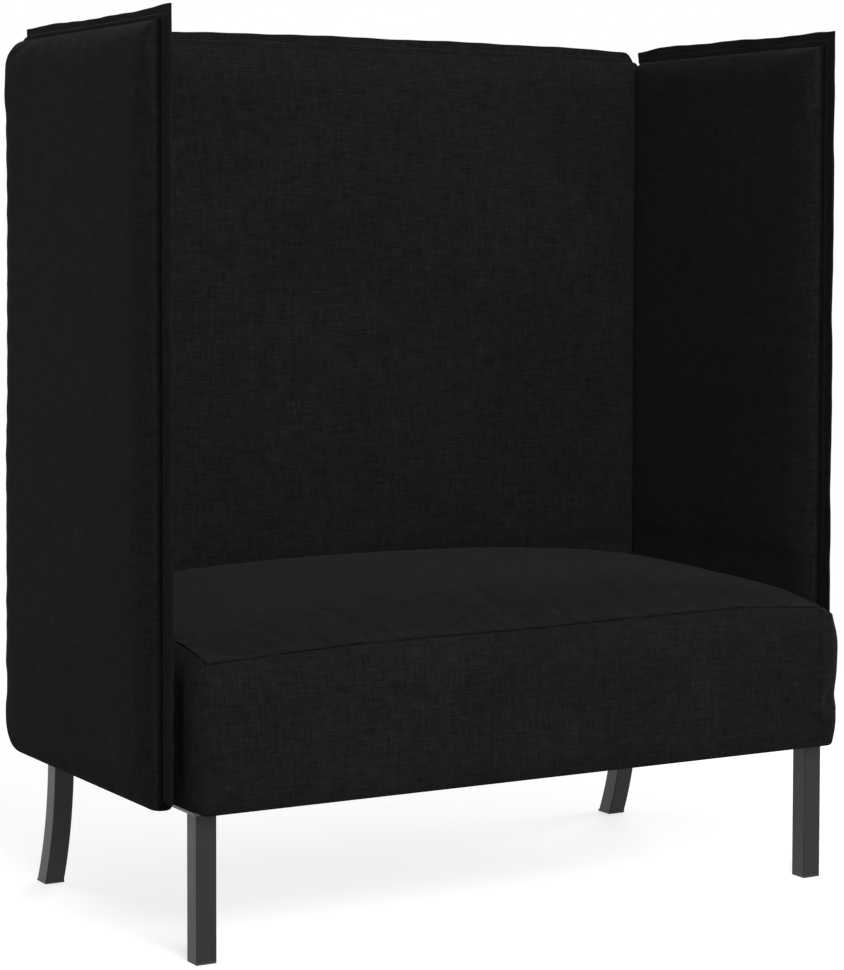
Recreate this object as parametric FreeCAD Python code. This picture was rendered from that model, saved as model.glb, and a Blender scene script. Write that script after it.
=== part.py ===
"""High back settee: a bench seat boxed in by a tall back and two tall side wings, on four tube legs.

Millimetres, +Z up. The origin is on the floor, at the middle of the width and of the depth.
The front faces -Y. Left and right are as seen from the front, so left is at -X.
"""
import FreeCAD, Part
import math
import os

from FreeCAD import Vector

# Driving sizes of the whole
settee_height = 1260.0          # floor to the top of the standing seams
underside_height = 204.0        # floor to the cloth under the seat
clear_width = 1048.0            # between the two wings
seat_depth = 545.0              # front of the seat to the face of the back
wing_setback = 68.0             # front of the seat to the rounded front edge of a wing
back_inset = 3.0                # rear of the wings to the rear of the back

# Cloth, padding and the room that soft pieces keep
cloth = 1.5
soft_gap = 0.3
dust_cloth = 0.8
spare = 1.0                     # shapes that only cut or divide others run this far past them

# Wings
wing_board_thickness = 18.0
wing_pad_thickness = 11.5
wing_edge_pad = 8.0
wing_rear_edge_pad = 4.0
wing_rear_corner = 50.0
wing_corner_flare = 3.0         # the corner's round starts this far outside the edges
wing_bottom_rounding = 12.0
wing_rear_rounding = 18.0

# Standing seams, two cloths thick, that run along the front and top edges
seam_root = 1.0                 # its cloths run this far into the covers
front_flange_width = 28.0
top_flange_height = 16.0
front_flange_foot = 8.0         # the front seam stops this far above the wing's bottom
wing_flange_rear_end = 10.0     # the top seam stops this far in front of the back's face
back_flange_end_gap = 12.0      # the back's seam stops this far from each wing

# Back
back_foam_thickness = 20.0
back_board_thickness = 15.0
back_wadding_thickness = 2.0
back_bottom_rounding = 8.0
back_edge_pad = 16.0            # soft edge above and below the back's board

# Seat box
rail_thickness = 25.0
rail_height = 140.0
centre_rail_height = 80.0
border_padding = 10.0
corner_block_side = 70.0
corner_block_nose = 24.0
corner_block_height = 50.0
cover_return = 30.0             # cloth turned under the box
dust_cover_margin = 7.5
seam_inset = 15.0               # the seam round the top lies this far in from the sides
shoulder_width = 15.0
shoulder_radius = 17.0
front_edge_slopes = (38.0, 70.0)        # degrees, where the rounded front edge leaves the crown and the front
front_edge_overrun = 5.0                # degrees that its round runs on past both
front_corner_radius = 9.0

# Crown of the seat at six stations, from its front edge to the back
crown_stations = (0.0, 0.12, 0.26, 0.48, 0.74, 1.0)             # shares of the seat's depth
crown_middle = (197.0, 231.0, 248.0, 260.0, 264.0, 262.0)       # above the underside, at mid-width
crown_sides = (189.0, 210.0, 219.0, 227.0, 231.0, 232.0)        # above the underside, at the shoulders

# Springs
spring_count = 9
spring_wire = 3.6
spring_width = 46.0
spring_pitch = 18.0
spring_spacing = 108.0
clip_thickness = 1.2
clip_width = 20.0
clip_grip = 0.2
clip_end_margin = 1.0           # end of a clip's foot in from the rail's edge
insulator_thickness = 3.0

# Legs
tube_side = 30.0
tube_wall = 1.5
tube_corner = 2.0
leg_inset_side = 6.0            # outer face of a leg in from the seat's side
front_leg_setback = 28.5
rear_leg_setback = 5.0          # top of a rear leg in front of the back's face
rear_leg_sweep = 41.0           # how far a rear foot lies behind the top of its leg
plate_side = 80.0
plate_thickness = 4.0
plate_corner = 6.0
plate_margin = 4.0              # plate edge past the tube
plate_screw_shares = ((0.80, 0.28), (0.80, 0.84), (0.18, 0.84), (0.52, 0.60))   # in from its outer edges
glide_thickness = 3.0
glide_plug = 14.0

# Fasteners
leg_screw = (10.0, 5.0, 34.0)           # head, shank, length
joint_screw = (9.0, 5.0, 65.0)
joint_screw_lift = 24.0                 # screws of the side rails above the bolts' heights
panel_screw = (12.0, 6.3, 62.0)
bolt_diameter = 8.0
bolt_head = (16.0, 5.0)
washer = (24.0, 1.6)
spacer_diameter = 20.0
tee_nut = (22.0, 1.5, 11.0, 12.0)       # flange, its thickness, barrel, its length
bolt_heights = (44.0, 106.0)            # above the rails' underside
wing_bolt_clearance = 24.0              # between a corner block and the wing bolts beside it
back_bolt_places = (-380.0, -130.0, 130.0, 380.0)
panel_screw_count = 5
panel_screw_end = 90.0                  # first and last screw in from the board's ends

# Places worked out from the sizes above
wing_thickness = wing_board_thickness + 2 * (wing_pad_thickness + cloth)
back_thickness = 2 * cloth + back_foam_thickness + back_board_thickness + back_wadding_thickness
overall_depth = seat_depth + back_thickness + back_inset
overall_width = clear_width + 2 * wing_thickness
front = -overall_depth / 2
rear = overall_depth / 2

wing_middle = overall_width / 2 - wing_thickness / 2
wing_radius = wing_thickness / 2
wing_front = front + wing_setback
wing_top = settee_height - top_flange_height
back_face = front + seat_depth
back_rear = back_face + back_thickness
back_middle = (back_face + back_rear) / 2
box_bottom = underside_height + dust_cloth
rail_bottom = box_bottom + cloth
rail_top = rail_bottom + rail_height
seat_half = clear_width / 2 - soft_gap
seat_rear = back_face - soft_gap
rail_outer = seat_half - cloth - soft_gap - border_padding
rail_front = front + cloth + soft_gap + border_padding
rail_rear = seat_rear - cloth - soft_gap
board_inner = wing_middle - wing_board_thickness / 2
board_outer = wing_middle + wing_board_thickness / 2
back_board_front = back_face + cloth + back_foam_thickness
back_board_rear = back_board_front + back_board_thickness
leg_top = underside_height - plate_thickness
leg_outer = seat_half - leg_inset_side
clip_top = rail_top + 2 * (clip_thickness + clip_grip) + spring_wire
spring_level = rail_top + clip_thickness + clip_grip + spring_wire / 2
insulator_bottom = clip_top + soft_gap
foam_bottom = insulator_bottom + insulator_thickness + soft_gap

SIDES = (("left", -1), ("right", 1))
nodes = {}


def box(x0, x1, y0, y1, z0, z1):
    """Block between two corners."""
    return Part.makeBox(x1 - x0, y1 - y0, z1 - z0, Vector(x0, y0, z0))


def flip(shape):
    """The same shape on the other side of the settee."""
    return shape.mirror(Vector(0, 0, 0), Vector(1, 0, 0))


def on_side(shape, sign):
    """Shapes are made on the right, and mirrored for the left."""
    return shape if sign > 0 else flip(shape)


def rounded_outline(a0, a1, b0, b1, radii, to_point):
    """Rectangle with its own radius at each corner: a0b0, a1b0, a1b1, a0b1."""
    corners = ((a0, b0), (a1, b0), (a1, b1), (a0, b1))
    starts = ((0, 1), (-1, 0), (0, -1), (1, 0))
    ends = ((1, 0), (0, 1), (-1, 0), (0, -1))
    edges = []
    last = None
    first = None
    bend = 1 - math.sqrt(0.5)
    for (a, b), (sa, sb), (ea, eb), r in zip(corners, starts, ends, radii):
        begin = to_point(a + sa * r, b + sb * r)
        finish = to_point(a + ea * r, b + eb * r)
        if last is not None and last.distanceToPoint(begin) > 1e-6:
            edges.append(Part.LineSegment(last, begin).toShape())
        if r > 0:
            middle = to_point(a + (sa + ea) * r * bend, b + (sb + eb) * r * bend)
            edges.append(Part.Arc(begin, middle, finish).toShape())
        if first is None:
            first = begin
        last = finish
    if last.distanceToPoint(first) > 1e-6:
        edges.append(Part.LineSegment(last, first).toShape())
    return Part.Face(Part.Wire(Part.__sortEdges__(edges)))


def rod(start, end, diameter):
    """Round bar from one point to another."""
    axis = end - start
    return Part.makeCylinder(diameter / 2, axis.Length, start, axis)


def screw(head_point, direction, size):
    """Countersunk screw whose head lies flush at head_point."""
    head, shank, length = size
    way = Vector(direction).normalize()
    depth = (head - shank) / 2
    cone = Part.makeCone(head / 2, shank / 2, depth, head_point, way)
    stem = Part.makeCylinder(shank / 2, length - depth, head_point + way * depth, way)
    return cone.fuse(stem).removeSplitter()


# Wings

def wing_body(inset):
    """Upholstered slab of a wing, rounded over at its edges, drawn in by inset."""
    nose = wing_radius - inset
    heel = wing_rear_rounding - inset
    base = wing_bottom_rounding - inset
    x0, x1 = wing_middle - nose, wing_middle + nose
    y0, y1 = wing_front + inset, rear - inset
    z0, z1 = box_bottom + inset, wing_top - inset
    plan = rounded_outline(x0, x1, y0, y1, (nose, nose, heel, heel), lambda a, b: Vector(a, b, 0))
    end = rounded_outline(x0, x1, z0, z1, (base, base, nose, nose), lambda a, b: Vector(a, 0, b))
    flare = wing_corner_flare
    corner = wing_rear_corner - inset + flare
    side = rounded_outline(y0 - flare, y1 + flare, z0 - flare, z1 + flare, (0, corner, corner, 0),
                           lambda a, b: Vector(0, a, b))
    plan = plan.extrude(Vector(0, 0, settee_height))
    end.translate(Vector(0, front, 0))
    end = end.extrude(Vector(0, overall_depth, 0))
    side = side.extrude(Vector(overall_width, 0, 0))
    return plan.common(end).common(side)


def wing_board(grow=0.0):
    """Plywood board at the heart of a wing."""
    y0 = wing_front + cloth + wing_edge_pad - grow
    y1 = rear - cloth - wing_rear_edge_pad + grow
    z0 = box_bottom + cloth + wing_edge_pad - grow
    z1 = wing_top - cloth - wing_edge_pad + grow
    corner = wing_rear_corner - cloth - wing_edge_pad + grow
    face = rounded_outline(y0, y1, z0, z1, (0, corner, corner, 0), lambda a, b: Vector(0, a, b))
    face.translate(Vector(board_inner - grow, 0, 0))
    return face.extrude(Vector(wing_board_thickness + 2 * grow, 0, 0))


def wing_outer_room():
    """Everything outside the middle of a wing, and all of it behind the back's face."""
    outside = box(wing_middle, overall_width, front - spare, rear + spare, 0, settee_height + spare)
    behind = box(board_inner, wing_middle, back_face, rear + spare, 0, settee_height + spare)
    return outside.fuse(behind)


def wing_inner_room():
    """The side of a wing that faces the sitter, up to the face of the back."""
    return box(0, wing_middle, front - spare, back_face - soft_gap, 0, settee_height + spare)


def wing_flange(x0, x1):
    """One cloth of the standing seam along the front and top of a wing."""
    tip = wing_front - front_flange_width
    upright = box(x0, x1, tip, wing_front + seam_root, box_bottom + front_flange_foot, settee_height)
    top = box(x0, x1, tip, back_face - wing_flange_rear_end, wing_top - seam_root, settee_height)
    return upright.fuse(top).removeSplitter()


def wing_bolt_places():
    inside_corner = rail_thickness + corner_block_side + wing_bolt_clearance
    return [(y, rail_bottom + height)
            for y in (rail_front + inside_corner, rail_rear - inside_corner) for height in bolt_heights]


def panel_screw_levels():
    low = box_bottom + cloth + wing_edge_pad + panel_screw_end
    high = wing_top - cloth - wing_edge_pad - panel_screw_end
    return [low + (high - low) * i / (panel_screw_count - 1) for i in range(panel_screw_count)]


def wing_fasteners():
    """Bolts, washers, spacers and tee nuts of the right wing, and its screws into the back."""
    bolts, washers, spacers, nuts, screws = [], [], [], [], []
    flange, flange_thickness, barrel, barrel_length = tee_nut
    inside = rail_outer - rail_thickness
    for y, z in wing_bolt_places():
        head_side = inside - washer[1]
        shank = rod(Vector(head_side, y, z), Vector(board_outer + flange_thickness, y, z), bolt_diameter)
        head = rod(Vector(head_side - bolt_head[1], y, z), Vector(head_side, y, z), bolt_head[0])
        bolt = head.fuse(shank)
        ring = rod(Vector(head_side, y, z), Vector(inside, y, z), washer[0])
        spacer = rod(Vector(rail_outer, y, z), Vector(board_inner, y, z), spacer_diameter)
        nut = rod(Vector(board_outer, y, z), Vector(board_outer + flange_thickness, y, z), flange)
        nut = nut.fuse(rod(Vector(board_outer - barrel_length, y, z), Vector(board_outer, y, z), barrel))
        bolts.append(bolt)
        washers.append(ring.cut(shank))
        spacers.append(spacer.cut(shank))
        nuts.append(nut.cut(shank))
    y = (back_board_front + back_board_rear) / 2
    for z in panel_screw_levels():
        screws.append(screw(Vector(board_outer, y, z), (-1, 0, 0), panel_screw))
    return bolts, washers, spacers, nuts, screws


def pockets(y_z_places, x0, x1, diameter):
    return [rod(Vector(x0, y, z), Vector(x1, y, z), diameter) for y, z in y_z_places]


wing_bolts, wing_washers, wing_spacers, wing_nuts, panel_screws = wing_fasteners()
spacer_holes = pockets(wing_bolt_places(), 0, board_inner, spacer_diameter + 2 * soft_gap)
bolt_holes = pockets(wing_bolt_places(), 0, board_outer, bolt_diameter)
nut_pockets = pockets(wing_bolt_places(), board_outer - spare, board_outer + tee_nut[1] + soft_gap,
                      tee_nut[0] + 2 * soft_gap)


def make_wings():
    cover = wing_body(0).cut(wing_body(cloth))
    pad = wing_body(cloth + soft_gap).cut(wing_board(soft_gap))
    outer_room, inner_room = wing_outer_room(), wing_inner_room()
    board = wing_board().cut(wing_bolts + wing_nuts + panel_screws)
    outer_pad = pad.common(outer_room).cut(nut_pockets)
    inner_pad = pad.common(inner_room).cut(spacer_holes)
    outer_flange = wing_flange(wing_middle, wing_middle + cloth)
    inner_flange = wing_flange(wing_middle - cloth, wing_middle)
    hollow = wing_body(cloth)
    outer_cover = cover.common(outer_room).fuse(outer_flange.cut(hollow))
    inner_cover = cover.common(inner_room).fuse(inner_flange.cut(hollow)).cut(spacer_holes)
    for name, sign in SIDES:
        nodes[name + "_wing_board"] = on_side(board, sign)
        nodes[name + "_wing_outer_pad"] = on_side(outer_pad, sign)
        nodes[name + "_wing_inner_pad"] = on_side(inner_pad, sign)
        nodes[name + "_wing_outer_cover"] = on_side(outer_cover.removeSplitter(), sign)
        nodes[name + "_wing_inner_cover"] = on_side(inner_cover.removeSplitter(), sign)


# Back

def back_body(inset):
    """Upholstered slab of the back, rounded over along its top."""
    half = board_inner - soft_gap - inset
    y0, y1 = back_face + inset, back_rear - inset
    z0, z1 = box_bottom + inset, wing_top - inset
    crest = back_thickness / 2 - inset
    base = back_bottom_rounding - inset
    end = rounded_outline(y0, y1, z0, z1, (base, base, crest, crest), lambda a, b: Vector(0, a, b))
    end.translate(Vector(-half, 0, 0))
    return end.extrude(Vector(2 * half, 0, 0))


def back_bolt_rows():
    return [(x, rail_bottom + height) for x in back_bolt_places for height in bolt_heights]


def back_fasteners():
    """Bolts, washers, spacers and tee nuts between the rear rail and the back's board."""
    bolts, washers, spacers, nuts = [], [], [], []
    flange, flange_thickness, barrel, barrel_length = tee_nut
    inside = rail_rear - rail_thickness
    for x, z in back_bolt_rows():
        head_side = inside - washer[1]
        tail = back_board_rear + flange_thickness
        shank = rod(Vector(x, head_side, z), Vector(x, tail, z), bolt_diameter)
        head = rod(Vector(x, head_side - bolt_head[1], z), Vector(x, head_side, z), bolt_head[0])
        ring = rod(Vector(x, head_side, z), Vector(x, inside, z), washer[0])
        spacer = rod(Vector(x, rail_rear, z), Vector(x, back_board_front, z), spacer_diameter)
        nut = rod(Vector(x, back_board_rear, z), Vector(x, tail, z), flange)
        stem = rod(Vector(x, back_board_rear - barrel_length, z), Vector(x, back_board_rear, z), barrel)
        bolts.append(head.fuse(shank))
        washers.append(ring.cut(shank))
        spacers.append(spacer.cut(shank))
        nuts.append(nut.fuse(stem).cut(shank))
    return bolts, washers, spacers, nuts


back_bolts, back_washers, back_spacers, back_nuts = back_fasteners()
back_spacer_holes = [rod(Vector(x, rail_rear, z), Vector(x, back_board_front, z),
                         spacer_diameter + 2 * soft_gap) for x, z in back_bolt_rows()]
back_bolt_holes = [rod(Vector(x, front, z), Vector(x, back_board_rear, z), bolt_diameter)
                   for x, z in back_bolt_rows()]
back_nut_pockets = [rod(Vector(x, back_board_rear, z), Vector(x, back_board_rear + tee_nut[1] + soft_gap, z),
                        tee_nut[0] + 2 * soft_gap) for x, z in back_bolt_rows()]


def make_back():
    half = board_inner - soft_gap
    low = box_bottom + cloth + back_edge_pad
    high = wing_top - cloth - back_edge_pad
    both_screws = panel_screws + [flip(s) for s in panel_screws]
    board = box(-half + cloth, half - cloth, back_board_front, back_board_rear, low, high)
    nodes["back_board"] = board.cut(back_bolts + back_nuts + both_screws)

    inside = back_body(cloth + soft_gap)
    middle = back_board_front - soft_gap
    before = box(-overall_width, overall_width, front, middle, 0, settee_height)
    rim = box(-half, half, middle, back_board_rear + soft_gap, low - soft_gap, high + soft_gap)
    soft = inside.cut(rim)
    behind = box(-overall_width, overall_width, middle, rear, 0, settee_height)
    nodes["back_foam"] = soft.common(before).cut(back_spacer_holes)
    nodes["back_wadding"] = soft.common(behind).cut(back_nut_pockets)

    hollow = back_body(cloth)
    cover = back_body(0).cut(hollow)
    seam_half = clear_width / 2 - back_flange_end_gap
    foot = wing_top - seam_root
    front_half = box(-overall_width, overall_width, front, back_middle, 0, settee_height)
    rear_half = box(-overall_width, overall_width, back_middle, rear, 0, settee_height)
    front_seam = box(-seam_half, seam_half, back_middle - cloth, back_middle, foot, settee_height)
    rear_seam = box(-seam_half, seam_half, back_middle, back_middle + cloth, foot, settee_height)
    front_cover = cover.common(front_half).fuse(front_seam.cut(hollow)).cut(back_spacer_holes)
    rear_cover = cover.common(rear_half).fuse(rear_seam.cut(hollow))
    nodes["back_front_cover"] = front_cover.removeSplitter()
    nodes["back_rear_cover"] = rear_cover.cut(both_screws).removeSplitter()


# Seat

def seat_section(y, side_level, middle_level, low, radius):
    """Upright section across the seat: round shoulders that overrun its sides, and a crown of one arc."""
    edge = seat_half - shoulder_width
    wall = edge + radius
    wall_top = side_level - radius
    slant = radius * math.sqrt(0.5)

    def at(x, z):
        return Vector(x, y, z)

    bulge = (edge + slant, wall_top + slant)
    edges = [Part.LineSegment(at(-wall, low), at(wall, low)).toShape(),
             Part.LineSegment(at(wall, low), at(wall, wall_top)).toShape(),
             Part.Arc(at(wall, wall_top), at(*bulge), at(edge, side_level)).toShape(),
             Part.Arc(at(edge, side_level), at(0, middle_level), at(-edge, side_level)).toShape(),
             Part.Arc(at(-edge, side_level), at(-bulge[0], bulge[1]), at(-wall, wall_top)).toShape(),
             Part.LineSegment(at(-wall, wall_top), at(-wall, low)).toShape()]
    return Part.Wire(edges)


def front_edge_side(inset):
    """Side outline that rounds the seat's front edge, from in front of the seat to behind it."""
    upper, lower = [math.radians(slope) for slope in front_edge_slopes]
    overrun = math.radians(front_edge_overrun)
    radius = shoulder_width / (math.sin(lower) - math.sin(upper))
    share = shoulder_width / (seat_rear - front) / crown_stations[1]
    level = underside_height + crown_middle[0] + (crown_middle[1] - crown_middle[0]) * share
    centre_y = front + radius * math.sin(lower)
    centre_z = level - radius * math.cos(upper)
    width = overall_width / 2

    def at(slope):
        reach = radius - inset
        return Vector(-width, centre_y - reach * math.sin(slope), centre_z + reach * math.cos(slope))

    start, finish = at(lower + overrun), at(upper - overrun)
    corners = [finish, Vector(-width, finish.y, settee_height), Vector(-width, rear, settee_height),
               Vector(-width, rear, 0), Vector(-width, start.y, 0), start]
    edges = [Part.LineSegment(a, b).toShape() for a, b in zip(corners, corners[1:])]
    edges.append(Part.Arc(start, at((lower + upper) / 2), finish).toShape())
    return Part.Face(Part.Wire(edges)).extrude(Vector(2 * width, 0, 0))


def seat_body(inset):
    """The whole upholstered box of the seat with its crown, drawn in by inset."""
    low = box_bottom + inset
    sections = []
    for share, side_rise, middle_rise in zip(crown_stations, crown_sides, crown_middle):
        y = front + (seat_rear - front) * share
        level = underside_height - inset
        sections.append(seat_section(y, level + side_rise, level + middle_rise, low,
                                     shoulder_radius - inset))
    crowned = Part.makeLoft(sections, True, False)
    half = seat_half - inset
    corner = front_corner_radius - inset
    plan = rounded_outline(-half, half, front + inset, seat_rear - inset, (corner, corner, 0, 0),
                           lambda a, b: Vector(a, b, 0))
    outline = plan.extrude(Vector(0, 0, settee_height)).common(front_edge_side(inset))
    return crowned.common(outline)


def rail_screws():
    """Screws through the front and rear rails into the ends of the other three."""
    made = []
    side_x = rail_outer - rail_thickness / 2
    for x, heights in ((-side_x, bolt_heights), (side_x, bolt_heights), (0.0, (centre_rail_height / 2,))):
        for height in heights:
            z = rail_bottom + height + (joint_screw_lift if x else 0)
            made.append(screw(Vector(x, rail_front, z), (0, 1, 0), joint_screw))
            made.append(screw(Vector(x, rail_rear, z), (0, -1, 0), joint_screw))
    return made


def corner_block(sign_x, at_front):
    """Three-cornered timber block glued into a corner of the frame."""
    x = sign_x * (rail_outer - rail_thickness)
    y = rail_front + rail_thickness if at_front else rail_rear - rail_thickness
    inward_y = corner_block_side if at_front else -corner_block_side
    nose_y = math.copysign(corner_block_nose, inward_y)
    points = [Vector(x, y, rail_bottom),
              Vector(x - sign_x * corner_block_side, y, rail_bottom),
              Vector(x - sign_x * corner_block_side, y + nose_y, rail_bottom),
              Vector(x - sign_x * corner_block_nose, y + inward_y, rail_bottom),
              Vector(x, y + inward_y, rail_bottom)]
    face = Part.Face(Part.makePolygon(points + points[:1]))
    return face.extrude(Vector(0, 0, corner_block_height))


def make_frame(leg_screws):
    screws = rail_screws()
    through = leg_screws + screws
    across = [box(-rail_outer, rail_outer, rail_front, rail_front + rail_thickness, rail_bottom, rail_top),
              box(-rail_outer, rail_outer, rail_rear - rail_thickness, rail_rear, rail_bottom, rail_top)]
    nodes["seat_front_rail"] = across[0].cut(through)
    nodes["seat_rear_rail"] = across[1].cut(through + back_bolt_holes)
    y0, y1 = rail_front + rail_thickness, rail_rear - rail_thickness
    for name, sign in SIDES:
        rail = box(rail_outer - rail_thickness, rail_outer, y0, y1, rail_bottom, rail_top)
        rail = on_side(rail.cut(bolt_holes), sign)
        nodes["seat_%s_rail" % name] = rail.cut(through)
    half = rail_thickness / 2
    centre = box(-half, half, y0, y1, rail_bottom, rail_bottom + centre_rail_height)
    nodes["seat_centre_rail"] = centre.cut(screws)
    blocks = [corner_block(sign, at_front).cut(leg_screws) for sign in (-1, 1) for at_front in (True, False)]
    nodes["seat_corner_blocks"] = Part.makeCompound(blocks)
    nodes["rail_joint_screws"] = Part.makeCompound(screws)


def spring(x):
    """Zigzag of one wire, straight bars joined by half turns, from the front rail to the rear."""
    first = rail_front + rail_thickness / 2
    last = rail_rear - rail_thickness / 2
    bars = int((last - first) / spring_pitch) + 1
    pitch = (last - first) / (bars - 1)
    radius = pitch / 2
    reach = spring_width / 2 - radius
    edges = []
    for i in range(bars):
        y = first + pitch * i
        sign = 1 if i % 2 else -1
        begin = Vector(x - sign * reach, y, spring_level)
        finish = Vector(x + sign * reach, y, spring_level)
        edges.append(Part.LineSegment(begin, finish).toShape())
        if i < bars - 1:
            bulge = Vector(x + sign * (reach + radius), y + radius, spring_level)
            edges.append(Part.Arc(finish, bulge, finish + Vector(0, pitch, 0)).toShape())
    path = Part.Wire(edges)
    start = Vector(x + reach, first, spring_level)
    ring = Part.Wire(Part.makeCircle(spring_wire / 2, start, Vector(1, 0, 0)))
    return path.makePipeShell([ring], True, False)


def spring_clip(x, at_front):
    """Bent steel strip that holds the end bar of a spring down on its rail."""
    bar = rail_front + rail_thickness / 2 if at_front else rail_rear - rail_thickness / 2
    out = -1 if at_front else 1
    hold = spring_wire / 2 + clip_grip
    tail = bar + out * (rail_thickness / 2 - clip_end_margin)
    bend = bar + out * (hold + clip_thickness)
    lip = bar - out * spring_wire
    base = box(x - clip_width / 2, x + clip_width / 2, min(tail, lip), max(tail, lip),
               rail_top, rail_top + clip_thickness)
    wall = box(x - clip_width / 2, x + clip_width / 2, min(bend, bar + out * hold),
               max(bend, bar + out * hold), rail_top, clip_top)
    roof = box(x - clip_width / 2, x + clip_width / 2, min(bend, lip), max(bend, lip),
               clip_top - clip_thickness, clip_top)
    return base.fuse([wall, roof]).removeSplitter()


def make_springs():
    places = [spring_spacing * (i - (spring_count - 1) / 2) for i in range(spring_count)]
    nodes["seat_springs"] = Part.makeCompound([spring(x) for x in places])
    clips = [spring_clip(x, at_front) for x in places for at_front in (True, False)]
    nodes["spring_clips"] = Part.makeCompound(clips)
    nodes["spring_insulator"] = box(-rail_outer, rail_outer, rail_front, rail_rear,
                                    insulator_bottom, insulator_bottom + insulator_thickness)


def make_seat(leg_screws):
    inner = seat_body(cloth)
    filling = seat_body(cloth + soft_gap)
    upper = box(-seat_half, seat_half, front, seat_rear, foam_bottom, settee_height)
    nodes["seat_foam"] = filling.common(upper)

    below = box(-seat_half, seat_half, front, seat_rear, rail_bottom, foam_bottom - soft_gap)
    wrap = filling.common(below)
    front_slab = box(-seat_half, seat_half, front, rail_front, 0, settee_height)
    nodes["seat_front_padding"] = wrap.common(front_slab)
    side_slab = box(rail_outer, seat_half, rail_front, seat_rear, 0, settee_height)
    side_padding = wrap.common(side_slab).cut(spacer_holes)
    for name, sign in SIDES:
        nodes["seat_%s_padding" % name] = on_side(side_padding, sign)

    cover = seat_body(0).cut(inner)
    mouth = box(-seat_half + cover_return, seat_half - cover_return, front + cover_return,
                seat_rear - cover_return, 0, rail_bottom + spare)
    cover = cover.cut(mouth)
    top_room = box(-seat_half + seam_inset, seat_half - seam_inset, front + seam_inset, seat_rear + spare,
                   foam_bottom, settee_height)
    nodes["seat_top_cover"] = cover.common(top_room)
    both_sides = spacer_holes + [flip(hole) for hole in spacer_holes]
    border = cover.cut([top_room] + leg_screws + both_sides + back_spacer_holes)
    nodes["seat_border_cover"] = border

    dust = box(-seat_half + dust_cover_margin, seat_half - dust_cover_margin, front + dust_cover_margin,
               seat_rear - dust_cover_margin, underside_height, box_bottom)
    nodes["dust_cover"] = dust.cut(leg_screws)


# Legs

def square_tube(x0, x1, y0, y1, z0, z1):
    """Upright square tube with rounded corners."""
    outer = rounded_outline(x0, x1, y0, y1, (tube_corner,) * 4, lambda a, b: Vector(a, b, z0))
    bore = box(x0 + tube_wall, x1 - tube_wall, y0 + tube_wall, y1 - tube_wall, z0, z1)
    return outer.extrude(Vector(0, 0, z1 - z0)).cut(bore)


def sabre_side(front_top, rear_top, low, high):
    """Side outline of a leg that is upright at its top and sweeps back towards its foot."""
    drop = leg_top
    front_radius = (drop ** 2 + rear_leg_sweep ** 2) / (2 * rear_leg_sweep)
    centre = front_top + front_radius
    rear_radius = centre - rear_top

    def at(radius, z):
        return Vector(0, centre - math.sqrt(radius ** 2 - (leg_top - z) ** 2), z)

    half_way = (low + high) / 2
    edges = [Part.Arc(at(front_radius, low), at(front_radius, half_way), at(front_radius, high)).toShape(),
             Part.LineSegment(at(front_radius, high), at(rear_radius, high)).toShape(),
             Part.Arc(at(rear_radius, high), at(rear_radius, half_way), at(rear_radius, low)).toShape(),
             Part.LineSegment(at(rear_radius, low), at(front_radius, low)).toShape()]
    return Part.Face(Part.Wire(edges))


def swept_bar(x0, x1, y0, y1, low, high):
    """Curved square bar between two heights, whose top runs from y0 to y1."""
    face = sabre_side(y0, y1, low, high)
    face.translate(Vector(x0, 0, 0))
    return face.extrude(Vector(x1 - x0, 0, 0))


def swept_tube(x0, x1, y0, y1):
    """Rear leg: the curved bar, hollow, with its long corners rounded."""
    bar = swept_bar(x0, x1, y0, y1, glide_thickness, leg_top)
    corners = [edge for edge in bar.Edges if edge.BoundBox.ZLength > leg_top / 2]
    bar = bar.makeFillet(tube_corner, corners)
    bore = swept_bar(x0 + tube_wall, x1 - tube_wall, y0 + tube_wall, y1 - tube_wall,
                     glide_thickness, leg_top)
    return bar.cut(bore)


def leg_parts(at_front):
    """Tube, plate, glide and screws of the right leg at the front or the rear."""
    x0, x1 = leg_outer - tube_side, leg_outer
    inner_x0, inner_x1 = x0 + tube_wall + soft_gap, x1 - tube_wall - soft_gap
    plate_x1 = min(x1 + plate_margin, seat_half)
    plate_x0 = plate_x1 - plate_side
    if at_front:
        y0 = front + front_leg_setback
        y1 = y0 + tube_side
        tube = square_tube(x0, x1, y0, y1, glide_thickness, leg_top)
        cap = rounded_outline(x0, x1, y0, y1, (tube_corner,) * 4, lambda a, b: Vector(a, b, 0))
        cap = cap.extrude(Vector(0, 0, glide_thickness))
        grip = tube_wall + soft_gap
        plug = box(inner_x0, inner_x1, y0 + grip, y1 - grip, glide_thickness, glide_thickness + glide_plug)
        plate_y0, plate_y1 = y0 - plate_margin, y0 - plate_margin + plate_side
        out = -1
    else:
        y1 = back_face - rear_leg_setback
        y0 = y1 - tube_side
        tube = swept_tube(x0, x1, y0, y1)
        cap = swept_bar(x0, x1, y0, y1, 0, glide_thickness)
        grip = tube_wall + soft_gap
        plug = swept_bar(inner_x0, inner_x1, y0 + grip, y1 - grip, glide_thickness,
                         glide_thickness + glide_plug)
        plate_y0, plate_y1 = y1 + plate_margin - plate_side, y1 + plate_margin
        out = 1
    plate = rounded_outline(plate_x0, plate_x1, plate_y0, plate_y1, (plate_corner,) * 4,
                            lambda a, b: Vector(a, b, leg_top))
    plate = plate.extrude(Vector(0, 0, plate_thickness))
    edge = plate_y0 if at_front else plate_y1
    screws = []
    for across, along in plate_screw_shares:
        x = plate_x1 - plate_side * across
        y = edge - out * plate_side * along
        screws.append(screw(Vector(x, y, leg_top), (0, 0, 1), leg_screw))
    return tube, plate.cut(screws), cap.fuse(plug).removeSplitter(), screws


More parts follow.
